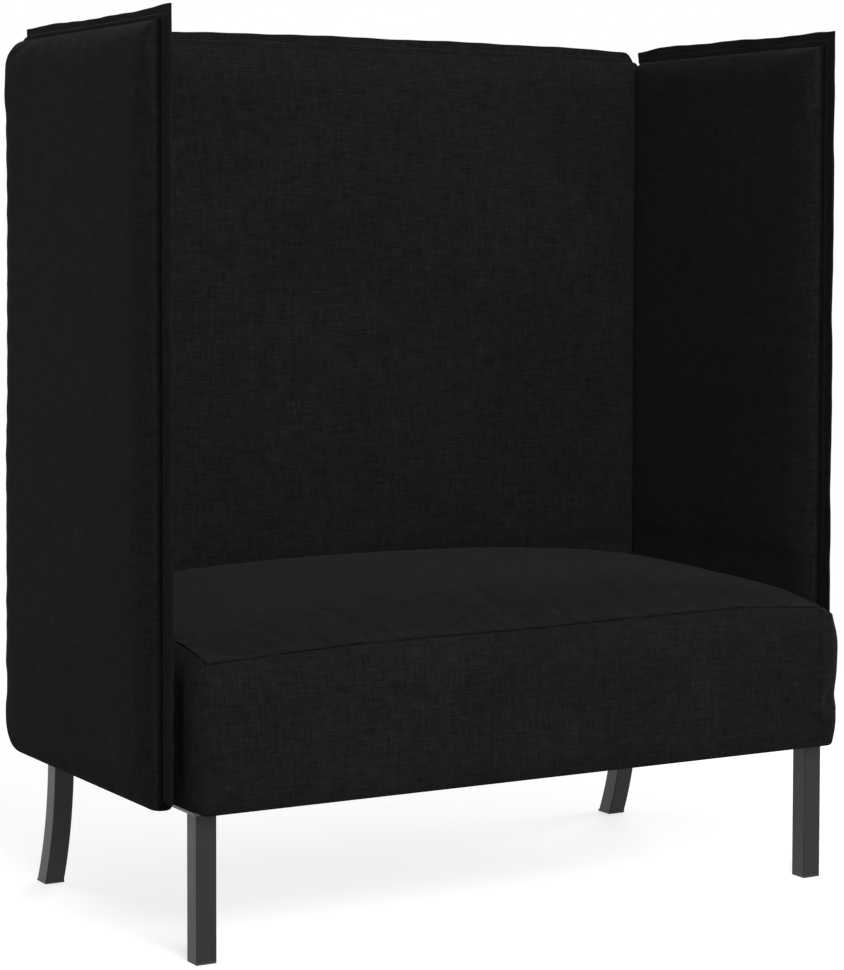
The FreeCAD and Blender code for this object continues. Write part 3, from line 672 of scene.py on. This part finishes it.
def markPad(piece, before, name, measure):
    # stores measure(place before filling) on each vertex, for the linen to read
    mesh = piece.data
    mark = mesh.attributes.new(name, "FLOAT", "POINT")
    mark.data.foreach_set("value", [measure(Vector(start)) for start in before])


seamMarks = {       # beside a standing seam: painted shade along the seam line, and gathers
    "seamShadeDepth": 0.85,
    "seamShadeWidth": 0.0016,
    "pullFrom": 0.004,
    "pullWidth": 0.011,
}


def markSeam(piece, before, depthOf):
    # painted shade along the seam line, strongest at the seam itself
    def seamShade(place):
        return seamMarks["seamShadeDepth"] * math.exp(-(depthOf(place) / seamMarks["seamShadeWidth"]) ** 2)

    def pull(place):
        return math.exp(-((depthOf(place) - seamMarks["pullFrom"]) / seamMarks["pullWidth"]) ** 2)

    markPad(piece, before, "seamShade", seamShade)
    markPad(piece, before, "pull", pull)


def keepEvaluated(piece):       # the mesh that its modifiers make becomes its own
    baked = bpy.data.meshes.new_from_object(evaluated(piece))
    piece.modifiers.clear()
    old, name = piece.data, piece.data.name
    piece.data = baked
    bpy.data.meshes.remove(old)
    baked.name = name
    return baked


def shadeSmooth(mesh, smooth=True):
    mesh.polygons.foreach_set("use_smooth", [smooth] * len(mesh.polygons))


def finishPad(piece, replaced):
    smooth = piece.modifiers.new("smoothCloth", "SUBSURF")
    smooth.levels = smooth.render_levels = 1
    mesh = keepEvaluated(piece)
    shadeSmooth(mesh)
    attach(piece, "root")
    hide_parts(*replaced)
    print("settee: %s has %d faces" % (piece.name, len(mesh.polygons)))


seedTurn = 1.7
numberTurn = 2.3


def wave(t, seed, pieces):
    # sum of a few slow sines, each (length, height), with places fixed by seed
    total = 0.0
    for number, (length, height) in enumerate(pieces):
        total += height * math.sin(2 * math.pi * t / length + seedTurn * seed + numberTurn * number)
    return total


def along(value, stations):
    # straight-line reading between (place, value) stations
    if value <= stations[0][0]:
        return stations[0][1]
    for (a, x), (b, y) in zip(stations, stations[1:]):
        if value <= b:
            return x + (y - x) * (value - a) / (b - a)
    return stations[-1][1]


def smoothRead(value, places, levels):
    # smooth curve through a few stations (Catmull-Rom)
    count = len(places)
    k = max(i for i in range(count - 1) if value >= places[i] or i == 0)
    t = (value - places[k]) / (places[k + 1] - places[k])

    def slope(i):
        a, b = max(i - 1, 0), min(i + 1, count - 1)
        return (levels[b] - levels[a]) / (places[b] - places[a])

    run = places[k + 1] - places[k]
    m0, m1 = slope(k) * run, slope(k + 1) * run
    a, b = levels[k], levels[k + 1]
    return ((2 * t ** 3 - 3 * t ** 2 + 1) * a + (t ** 3 - 2 * t ** 2 + t) * m0
            + (3 * t ** 2 - 2 * t ** 3) * b + (t ** 3 - t ** 2) * m1)


# Wings

wingLow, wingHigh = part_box("right_wing_outer_cover")
innerLow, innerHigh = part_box("right_wing_inner_cover")
wing = {
    "middle": (innerLow.x + wingHigh.x) / 2,
    "half": 0.0214,                 # from the middle to a face before the pad is filled
    "front": -0.226,
    "rear": 0.293,
    "bottom": wingLow.z - 0.003,    # the cloth hangs a little below the boards
    "top": {"left": 1.244, "right": 1.249},
    "rearCorner": 0.05,
    "outerRounds": (0.0214, 0.0212, 0.012, 0.0214),  # front, rear, bottom, top
    "innerRounds": (0.0214, 0.004, 0.012, 0.0214),
    "innerRear": innerHigh.y - 0.0002,
    "behindInner": 0.0094,          # the outer cover's turn round the rear, inside the middle
    "rearLean": (0.009, 0.0),       # how far the rear edge stands back at its bottom and its top
    "cap": 0.0035,
    "step": 0.0145,
    "contactTop": 0.475,            # below this the seat's side lies against the inner face
    "contactDepth": 0.0218,
    "thinnest": 0.0006,
    "heldRim": 0.004,
    "fill": 0.85,
}


def wingPad(side, sign, label):
    outer = label == "Outer"
    top = wing["top"][side]
    span = (wing["front"], wing["rear"] if outer else wing["innerRear"], wing["bottom"], top)
    rear = wing["rearCorner"] if outer else 0.0
    corners = (0.0, rear, rear, 0.0)
    rounds = wing["outerRounds" if outer else "innerRounds"]
    near = [roundOffsets(radius, count) for radius, count in zip(rounds, (6, 5 if outer else 2, 4, 6))]
    way = sign if outer else -sign

    def shift(y, z):        # the rear edge isn't quite upright
        share = (z - wing["bottom"]) / (top - wing["bottom"])
        low, high = wing["rearLean"]
        return y + (low + (high - low) * share) * max(y, 0.0) / wing["rear"]

    def toPoint(y, z, distance, face):
        half = slabProfile(y, z, span, corners, rounds, wing["half"])
        if face < 0:
            half = -max(min(wing["behindInner"], half - wing["thinnest"]), 0.0) if outer else 0.0
        return (sign * wing["middle"] + way * half, shift(y, z) if outer else y, z)

    pad = makeSlab(side + "Wing" + label + "Pad", span, corners, near, wing["step"], toPoint)

    def seamDepth(place):
        return min(place.y - wing["front"], top - place.z)

    def isHeld(place):
        faceDepth = way * (place.x - sign * wing["middle"])
        return min(faceDepth, outlineDistance(place.y, place.z, span, corners)) < wing["heldRim"]

    before = fillPad(pad, wing["cap"], isHeld)
    markSeam(pad, before, seamDepth)

    def settle(start, place, normal):
        out = sign * place.x
        if not outer:
            if place.z < wing["contactTop"]:
                out = max(out, wing["middle"] - wing["contactDepth"])
            return (sign * out, min(place.y, wing["innerRear"]), max(place.z, wing["bottom"]))
        return (place.x, place.y, max(place.z, wing["bottom"]))

    adjust(pad, before, settle)
    replaced = ["%s_wing_%s_%s" % (side, label.lower(), part) for part in ("cover", "pad")]
    finishPad(pad, replaced)


for side, sign in (("left", -1), ("right", 1)):
    for label in ("Outer", "Inner"):
        wingPad(side, sign, label)


# Back

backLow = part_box("back_front_cover")[0]
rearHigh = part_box("back_rear_cover")[1]
back = {
    "halfWidth": 0.5362,            # its ends lie behind the inner pads of the wings
    "face": backLow.y,
    "rear": rearHigh.y,
    "bottom": backLow.z,
    "top": 1.250,
    "edgeRounds": (0.003, 0.003, 0.008, 0.0195),    # left, right, bottom, top
    "cap": 0.006,
    "step": 0.0145,
    "contactTop": 0.462,            # below this the seat lies against the front face
    "behindWings": 0.5235,          # past this the inner pads of the wings lie against it
    "room": 0.0008,
    "contactRoom": 0.0003,
    "heldRim": 0.004,
    "heldRear": 0.9,                # share of the half thickness past which the rear is held
    "fill": 0.85,
}


def makeBack():
    half = (back["rear"] - back["face"]) / 2 - back["room"]
    middle = (back["rear"] + back["face"]) / 2
    span = (-back["halfWidth"], back["halfWidth"], back["bottom"], back["top"])
    corners = (0.0, 0.0, 0.0, 0.0)
    left, right, low, high = back["edgeRounds"]
    near = (roundOffsets(left, 4), roundOffsets(right, 4), roundOffsets(low, 3), roundOffsets(high, 6))

    def toPoint(x, z, distance, face):
        deep = slabProfile(x, z, span, corners, back["edgeRounds"], half)
        return (x, middle - face * deep, z)

    pad = makeSlab("backPad", span, corners, near, back["step"], toPoint, wallRows=2)

    def isHeld(place):
        onRim = outlineDistance(place.x, place.z, span, corners) < back["heldRim"]
        return onRim or place.y > middle + half * back["heldRear"]

    before = fillPad(pad, back["cap"], isHeld)
    markSeam(pad, before, lambda place: back["top"] - place.z)

    def settle(start, place, normal):
        y = place.y
        if place.z < back["contactTop"] or abs(place.x) > back["behindWings"]:
            y = max(y, back["face"] + back["contactRoom"])
        x = clamp(place.x, -back["halfWidth"], back["halfWidth"])
        return (x, min(y, back["rear"]), max(place.z, back["bottom"]))

    adjust(pad, before, settle)
    finishPad(pad, ["back_front_cover", "back_rear_cover", "back_foam", "back_wadding"])


makeBack()


# Seat

seatLow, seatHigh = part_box("seat_border_cover")
seat = {
    "half": seatHigh.x,
    "front": seatLow.y,
    "rear": seatHigh.y,
    "bottom": seatLow.z,
    "frontCorner": 0.012,
    "shoulder": 0.015,
    "heel": 0.005,
    "hang": 0.0036,                 # the front's lower edge hangs this far below the frame
    "seam": 0.015,                  # in from the sides and the front
    "stations": (0.0, 0.12, 0.26, 0.48, 0.74, 1.0),
    "middle": (0.401, 0.432, 0.451, 0.463, 0.466, 0.463),
    "sides": (0.397, 0.412, 0.422, 0.430, 0.434, 0.434),
    "crownPower": 2.4,
    "topFrom": 0.3,                 # what is higher belongs to the top and its shoulder
    "driftReach": 0.45,             # share of the depth over which the front's drift dies away
    "sideRoom": 0.0004,
    "frontRoom": 0.0015,
    "seamLines": (-0.0012, -0.0005, 0.0, 0.0005, 0.0012, 0.003, 0.007),
    # width of the painted shade along the seam
    "seamShadeWidth": 0.0014,
    "pullWidth": 0.012,
    "fill": 0.75,
    "cap": 0.007,
    "step": 0.0125,
    "frontDrift": ((-0.52, 0.0), (-0.445, 0.0015), (-0.28, 0.0054), (-0.025, 0.0045), (0.24, 0.0103),
                   (0.355, 0.0143), (0.469, 0.011), (0.52, 0.009)),
    "leftBulge": 0.003,             # where the front of the box stands free of the wings
    "rightBulge": 0.0115,
    "freeFrom": (-0.236, 0.03),     # the sides stand free in front of this, fully after this much more
    "swellHeight": 0.19,
    "swellGain": 1.7,               # above 1 the swell is full over more of the height
    "swellEdge": (0.02, 0.018),     # it starts this far inside the sides and is full after this much
    "widest": 0.0125,               # how far it may pass the sides
    "frontGive": 0.003,
    "hangReach": (0.012, 0.03),     # back from the front and up from the foot
    "heldSeam": 0.0008,
    "heldFoot": 0.006,
    "heldRear": 0.002,
    "underFrom": 0.004,             # what is lower belongs to the underside
    "longestFace": 0.1,
    "borderUv": 3.0,                # keeps the border's cloth clear of the top's
    "groove": (                     # out of the cloth, in from the seam, width
        (-0.0036, 0.0, 0.0015), (0.0012, -0.004, 0.0022), (0.0010, 0.004, 0.0025)),
}


def makeSeat():
    half = seat["half"] - seat["sideRoom"]
    span = (-half, half, seat["front"] + seat["frontRoom"], seat["rear"])
    corners = (seat["frontCorner"], seat["frontCorner"], 0.0, 0.0)
    seam, shoulder, heel, bottom = (seat[key] for key in ("seam", "shoulder", "heel", "bottom"))
    sewnEdge = roundOffsets(shoulder - 0.003, 4) + [seam + offset for offset in seat["seamLines"]]
    near = (sewnEdge, sewnEdge, sewnEdge, roundOffsets(0.006, 2))

    def edgeDepth(x, y):        # how far in from the sides and the front
        return min(span[1] - abs(x), y - span[2])

    def crown(x, y):
        share = clamp((y - seat["front"]) / (seat["rear"] - seat["front"]))
        middle = smoothRead(share, seat["stations"], seat["middle"])
        sides = smoothRead(share, seat["stations"], seat["sides"])
        rise = 1 - min(abs(x) / (seat["half"] - seam), 1.0) ** seat["crownPower"]
        lift = along(x, seat["frontDrift"]) * max(1 - share / seat["driftReach"], 0.0)
        return sides + (middle - sides) * rise + lift

    def toPoint(x, y, distance, face):
        if face < 0:
            inner = max(heel - distance, 0.0)
            return (x, y, bottom + heel - math.sqrt(heel ** 2 - inner ** 2))
        edge = edgeDepth(x, y)
        inner = max(shoulder - edge, 0.0) if distance > 0 else shoulder
        drop = shoulder - math.sqrt(max(shoulder ** 2 - inner ** 2, 0.0))
        if y > span[3] - 0.0005 and edge > shoulder:
            drop = 0.0
        return (x, y, crown(x, y) - drop)

    def borderRun(place):       # distance along the border from the middle of the front
        side = span[1] - abs(place.x)
        ahead = place.y - span[2]
        if ahead < side:
            return place.x
        return math.copysign(span[1] + ahead, place.x)

    def toUv(centre, place):
        onTop = centre.z > seat["topFrom"] and edgeDepth(centre.x, centre.y) > seam
        if onTop or centre.z < bottom + seat["underFrom"]:
            return None
        run, centreRun = borderRun(place), borderRun(centre)
        if abs(run - centreRun) > seat["longestFace"]:
            run = centreRun
        return (run + seat["borderUv"], place.z + max(edgeDepth(place.x, place.y), 0.0))

    pad = makeSlab("seatPad", span, corners, near, seat["step"], toPoint, wallRows=14, toUv=toUv)

    def isHeld(place):
        fromSeam = abs(edgeDepth(place.x, place.y) - seam)
        onSeam = fromSeam < seat["heldSeam"] and place.z > seat["topFrom"]
        return onSeam or place.z < bottom + seat["heldFoot"] or place.y > span[3] - seat["heldRear"]

    before = fillPad(pad, seat["cap"], isHeld)

    def settle(start, place, normal):
        start = Vector(start)
        moved = place.copy()
        depth = edgeDepth(start.x, start.y)
        if start.z > seat["topFrom"] and depth < 2 * seam:
            for height, inward, width in seat["groove"]:
                moved += normal * height * math.exp(-((depth - seam - inward) / width) ** 2)
        line, reach = seat["freeFrom"]
        free = clamp((line - start.y) / reach)
        tall = math.sin(math.pi * clamp((start.z - bottom) / seat["swellHeight"]))
        tall = min(seat["swellGain"] * tall, 1.0)
        inside, fade = seat["swellEdge"]
        nearSide = clamp((abs(start.x) - span[1] + inside) / fade)
        bulge = seat["rightBulge" if start.x > 0 else "leftBulge"]
        moved.x += math.copysign(bulge * free * tall * nearSide, start.x)
        limit = seat["half"] + free * seat["widest"]
        moved.x = clamp(moved.x, -limit, limit)
        moved.y = clamp(moved.y, seat["front"] - seat["frontGive"], seat["rear"])
        rearward, upward = seat["hangReach"]
        atFront = math.exp(-((start.y - seat["front"]) / rearward) ** 2)
        atFoot = clamp((bottom + upward - start.z) / upward)
        moved.z = max(moved.z, bottom) - seat["hang"] * atFront * atFoot
        return moved

    def nearSeam(place, width):
        if place.z <= seat["topFrom"]:
            return 0.0
        return math.exp(-((edgeDepth(place.x, place.y) - seam) / width) ** 2)

    # painted shade along the seam, and gathers beside it
    markPad(pad, before, "seamShade", lambda place: nearSeam(place, seat["seamShadeWidth"]))
    markPad(pad, before, "pull", lambda place: nearSeam(place, seat["pullWidth"]))
    adjust(pad, before, settle)
    finishPad(pad, ["seat_top_cover", "seat_border_cover", "seat_foam", "seat_front_padding",
                    "seat_left_padding", "seat_right_padding"])


makeSeat()


# Standing seams

seams = {
    "cloth": 0.0014,
    "gap": 0.0002,
    "frontWidth": 0.028,
    "topHeight": 0.016,
    "root": 0.003,
    "foot": 0.2128,                 # bottom of the front seam
    "leftRear": 0.241,
    "rightRear": 0.268,
    "lean": {"left": 0.0, "right": 0.0065},         # how far the free edge leans inward
    "step": 0.009,
    "leftTop": ((-0.254, 0.002), (-0.21, 0.0015), (-0.12, -0.0015), (0.08, -0.001), (0.155, 0.002),
                (0.241, -0.001)),
    "rightTop": ((-0.254, 0.0045), (-0.21, 0.005), (-0.16, 0.003), (0.0, 0.005), (0.2, 0.006),
                 (0.268, 0.001)),
    "edgeLines": (0.0, 0.0012, 0.004, 0.0075, 0.015, 0.0225),       # in from the free front edge
    "topLines": (0.15, 0.4, 0.7, 0.93, 1.0),                        # shares of the height
    "backLines": (0.3, 0.6, 0.9, 1.0),
    "leanRipple": ((0.31, 0.0005), (0.13, 0.0004), (0.052, 0.0002)),        # each (length, height)
    "topRipple": ((0.17, 0.0006), (0.06, 0.0003)),
    "frontRipple": ((0.23, 0.0005), (0.09, 0.0003)),
    "backRipple": ((0.21, 0.0005), (0.07, 0.0003)),
    "backTop": ((-0.52, 0.0), (-0.3, 0.002), (-0.1, 0.0055), (0.28, 0.005), (0.43, 0.003), (0.536, 0.0)),
    "backHalf": 0.536,
    "backBend": ((0.27, 0.0009), (0.11, 0.0005)),
    "backTaper": 0.014,             # over this length its ends run down to the pad
    "taperShare": 0.9,
    "leastLean": 0.25,
}


def makeStrip(name, columns, rows, toPoint, reverse):
    # one cloth of a standing seam; toPoint gives None where the grid has no point
    points, uvs, index, faces = [], [], {}, []
    for j, row in enumerate(rows):
        for i, column in enumerate(columns):
            point = toPoint(column, row)
            if point is not None:
                index[(j, i)] = len(points)
                points.append(point)
                uvs.append((column, row))
    for j in range(len(rows) - 1):
        for i in range(len(columns) - 1):
            quad = [index.get(key) for key in ((j, i), (j, i + 1), (j + 1, i + 1), (j + 1, i))]
            if None not in quad:
                faces.append(quad[::-1] if reverse else quad)
    mesh = bpy.data.meshes.new(name)
    mesh.from_pydata(points, [], faces)
    layer = mesh.uv_layers.new(name="cloth")
    for loop in mesh.loops:
        layer.data[loop.index].uv = uvs[loop.vertex_index]
    mesh.materials.append(linenFinish)
    strip = linkPiece(name, mesh)
    thick = strip.modifiers.new("thickCloth", "SOLIDIFY")
    thick.thickness = seams["cloth"]
    thick.offset = 1.0
    smooth = strip.modifiers.new("softEdges", "SUBSURF")
    smooth.levels = smooth.render_levels = 1
    baked = keepEvaluated(strip)
    work = bmesh.new()
    work.from_mesh(baked)
    bmesh.ops.recalc_face_normals(work, faces=work.faces)
    work.to_mesh(baked)
    work.free()
    shadeSmooth(baked)
    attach(strip, "root")


def seamShape(side, y, z, seed):
    # how far the wing's standing seam leans and ripples inward at (y, z)
    forward = (wing["front"] - y) / seams["frontWidth"]
    wayOut = min(max(forward, (z - wing["top"][side]) / seams["topHeight"], 0.0), 1.0)
    ripple = wave(z + y, seed, seams["leanRipple"])
    return wayOut * (seams["lean"][side] * max(forward, seams["leastLean"]) + ripple)


def makeWingSeam(side, sign):
    drift = seams[side + "Top"]
    top = wing["top"][side]
    tip = wing["front"] - seams["frontWidth"]
    ys = [tip + offset for offset in seams["edgeLines"]] + [wing["front"] + seams["root"]]
    start, end = ys[-1], seams[side + "Rear"]
    count = int((end - start) / seams["step"])
    ys += [start + (end - start) * (k + 1) / count for k in range(count)]
    tall = top - seams["root"]
    count = int((tall - seams["foot"]) / seams["step"])
    zs = [seams["foot"] + (tall - seams["foot"]) * k / count for k in range(count + 1)]
    straight = zs[-1]
    zs += [top + seams["topHeight"] * share for share in seams["topLines"]]
    for label, way in (("Outer", 1), ("Inner", -1)):
        def toPoint(y, z):
            if y > start and z < straight:
                return None
            up = max((z - top) / seams["topHeight"], 0.0)
            height = z + along(y, drift) * min(up, 1.0) + wave(y, sign, seams["topRipple"]) * up
            out = max((wing["front"] - y) / seams["frontWidth"], 0.0)
            deep = y + wave(z, 2 * sign, seams["frontRipple"]) * out
            x = wing["middle"] + way * seams["gap"] / 2 - seamShape(side, y, z, sign)
            return (sign * x, deep, height)

        makeStrip("%sWing%sSeam" % (side, label), ys, zs, toPoint, way * sign < 0)


def makeBackSeam():
    middle = (back["face"] + back["rear"]) / 2
    count = int(2 * seams["backHalf"] / seams["step"])
    xs = [-seams["backHalf"] + 2 * seams["backHalf"] * k / count for k in range(count + 1)]
    zs = [back["top"] - seams["root"], back["top"]]
    zs += [back["top"] + seams["topHeight"] * share for share in seams["backLines"]]
    for label, way in (("Front", -1), ("Rear", 1)):
        def toPoint(x, z):
            up = max((z - back["top"]) / seams["topHeight"], 0.0)
            height = z + (along(x, seams["backTop"]) + wave(x, 5, seams["backRipple"])) * up
            left = min((seams["backHalf"] - abs(x)) / seams["backTaper"], 1.0)
            height -= (height - back["top"] + seams["root"]) * (1 - left) ** 2 * seams["taperShare"]
            deep = middle + way * seams["gap"] / 2 + wave(x, 4, seams["backBend"]) * up
            return (x, deep, height)

        makeStrip("back%sSeam" % label, xs, zs, toPoint, way > 0)


for side, sign in (("left", -1), ("right", 1)):
    makeWingSeam(side, sign)
makeBackSeam()
print("settee: standing seams ready")


# Rows of stitches and staples

def makeRowTree(name, shape):
    # small shapes set along a line, each turned to run with it
    tree = bpy.data.node_groups.new(name, "GeometryNodeTree")
    tree.interface.new_socket(name="Geometry", in_out="INPUT", socket_type="NodeSocketGeometry")
    for label, kind in (("Pitch", "NodeSocketFloat"), ("Length", "NodeSocketFloat"),
                        ("Thickness", "NodeSocketFloat"), ("Finish", "NodeSocketMaterial")):
        tree.interface.new_socket(name=label, in_out="INPUT", socket_type=kind)
    tree.interface.new_socket(name="Geometry", in_out="OUTPUT", socket_type="NodeSocketGeometry")
    given = tree.nodes.new("NodeGroupInput")
    made = tree.nodes.new("NodeGroupOutput")
    line = put(tree, "GeometryNodeMeshToCurve", {"Mesh": given.outputs["Geometry"]})
    spaced = put(tree, "GeometryNodeResampleCurve", {"Curve": line.outputs[0]}, mode="LENGTH")
    tree.links.new(given.outputs["Pitch"], spaced.inputs["Length"])
    if shape == "bead":
        solid = put(tree, "GeometryNodeMeshUVSphere", {"Segments": 6, "Rings": 5, "Radius": 0.5})
    else:
        solid = put(tree, "GeometryNodeMeshCube", {"Size": (1.0, 1.0, 1.0)})
    thickness, length = given.outputs["Thickness"], given.outputs["Length"]
    stretch = put(tree, "ShaderNodeCombineXYZ", {0: thickness, 1: thickness, 2: length}).outputs[0]
    sized = put(tree, "GeometryNodeTransform", {"Geometry": solid.outputs["Mesh"], "Scale": stretch})
    tangent = put(tree, "GeometryNodeInputTangent")
    turned = put(tree, "FunctionNodeAlignRotationToVector", {"Vector": tangent.outputs[0]}, axis="Z")
    placed = put(tree, "GeometryNodeInstanceOnPoints",
                 {"Points": spaced.outputs[0], "Instance": sized.outputs[0], "Rotation": turned.outputs[0]})
    real = put(tree, "GeometryNodeRealizeInstances", {"Geometry": placed.outputs[0]})
    dressed = put(tree, "GeometryNodeSetMaterial", {"Geometry": real.outputs[0],
                                                   "Material": given.outputs["Finish"]})
    tree.links.new(dressed.outputs[0], made.inputs[0])
    return tree


stitchTree = makeRowTree("stitchRow", "bead")
stapleTree = makeRowTree("stapleRow", "bar")


def makeRow(name, tree, paths, finish, sizes):
    points, edges = [], []
    for path in paths:
        edges += [(len(points) + k, len(points) + k + 1) for k in range(len(path) - 1)]
        points += path
    mesh = bpy.data.meshes.new(name)
    mesh.from_pydata(points, edges, [])
    row = linkPiece(name, mesh)
    spread = row.modifiers.new("spread", "NODES")
    spread.node_group = tree
    values = dict(sizes, Finish=finish)
    for item in tree.interface.items_tree:
        if item.item_type == "SOCKET" and item.in_out == "INPUT" and item.name in values:
            spread[item.identifier] = values[item.name]
    row.update_tag()
    baked = keepEvaluated(row)
    shadeSmooth(baked, tree == stitchTree)
    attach(row, "root")
    print("settee: %s has %d faces" % (name, len(baked.polygons)))


stitches = {
    "fromRoot": 0.0055,             # the sewn line lies this far out from the pad
    "pathStep": 0.01,
    "wingEnd": 0.003,               # the sewn line stops this short of the seam's end
    "backEnd": 0.012,
    "sizes": {"Pitch": 0.0044, "Length": 0.0033, "Thickness": 0.0007},
}


def wingStitchPath(side, sign, way):
    top, inset = wing["top"][side], stitches["fromRoot"]
    face = seams["gap"] / 2 + seams["cloth"]
    turnY, turnZ = wing["front"] - inset, top + inset
    foot, step = seams["foot"], stitches["pathStep"]
    count = int((turnZ - foot) / step)
    places = [(turnY, foot + (turnZ - foot) * (k + 0.5) / count) for k in range(count)]
    places.append((turnY, turnZ))
    rear = seams[side + "Rear"] - stitches["wingEnd"]
    count = int((rear - turnY) / step)
    places += [(turnY + (rear - turnY) * k / count, turnZ) for k in range(1, count + 1)]
    path = []
    for y, z in places:
        lift = along(y, seams[side + "Top"]) * inset / seams["topHeight"] if z >= turnZ else 0.0
        path.append((sign * (wing["middle"] + way * face - seamShape(side, y, z, sign)), y, z + lift))
    return path


def makeStitches():
    for side, sign in (("left", -1), ("right", 1)):
        paths = [wingStitchPath(side, sign, way) for way in (1, -1)]
        makeRow(side + "WingStitches", stitchTree, paths, threadFinish, stitches["sizes"])
    middle = (back["face"] + back["rear"]) / 2
    half = seams["backHalf"] - stitches["backEnd"]
    height = back["top"] + stitches["fromRoot"]
    share = stitches["fromRoot"] / seams["topHeight"]
    count = int(2 * half / stitches["pathStep"])
    paths = []
    for way in (1, -1):
        path = []
        for k in range(count + 1):
            x = -half + 2 * half * k / count
            bend = wave(x, 4, seams["backBend"]) * share
            deep = middle + way * (seams["gap"] / 2 + seams["cloth"]) + bend
            path.append((x, deep, height + along(x, seams["backTop"]) * share))
        paths.append(path)
    makeRow("backStitches", stitchTree, paths, threadFinish, stitches["sizes"])


makeStitches()


# Dust cover

dustLow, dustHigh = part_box("dust_cover")
dust = {
    "sag": 0.0022,
    "cloth": 0.0006,
    "pucker": 0.0003,
    "puckerTurns": 13,              # waves along the front and the rear edge
    "step": 0.02,
    "hem": 0.012,
    "staple": {"Pitch": 0.042, "Length": 0.0105, "Thickness": 0.0007},
}


def makeDustCover():
    width, length = dustHigh.x - dustLow.x, dustHigh.y - dustLow.y
    nx, ny = int(width / dust["step"]), int(length / dust["step"])
    points, faces = [], []
    for j in range(ny + 1):
        for i in range(nx + 1):
            a, b = i / nx, j / ny
            sag = dust["sag"] * math.sin(math.pi * a) * math.sin(math.pi * b)
            turn = 2 * dust["puckerTurns"] * math.pi * a
            pucker = dust["pucker"] * math.sin(turn) * (1 - math.sin(math.pi * b))
            points.append((dustLow.x + width * a, dustLow.y + length * b, dustHigh.z - sag - abs(pucker)))
    for j in range(ny):
        for i in range(nx):
            a = j * (nx + 1) + i
            faces.append((a, a + nx + 1, a + nx + 2, a + 1))
    mesh = bpy.data.meshes.new("dustSheet")
    mesh.from_pydata(points, [], faces)
    mesh.materials.append(dustFinish)
    sheet = linkPiece("dustSheet", mesh)
    thick = sheet.modifiers.new("thickCloth", "SOLIDIFY")
    thick.thickness = dust["cloth"]
    thick.offset = 1.0
    keepEvaluated(sheet)
    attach(sheet, "root")
    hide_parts("dust_cover")


def makeStaples():      # through the hem, round all four sides
    hem, height = dust["hem"], dustLow.z - dust["staple"]["Thickness"] / 2
    a, b, c, d = dustLow.x + hem, dustHigh.x - hem, dustLow.y + hem, dustHigh.y - hem
    sides = [[(a, y, height), (b, y, height)] for y in (c, d)]
    sides += [[(x, c + 2 * hem, height), (x, d - 2 * hem, height)] for x in (a, b)]
    makeRow("dustCoverStaples", stapleTree, sides, zincFinish, dust["staple"])


makeDustCover()
makeStaples()
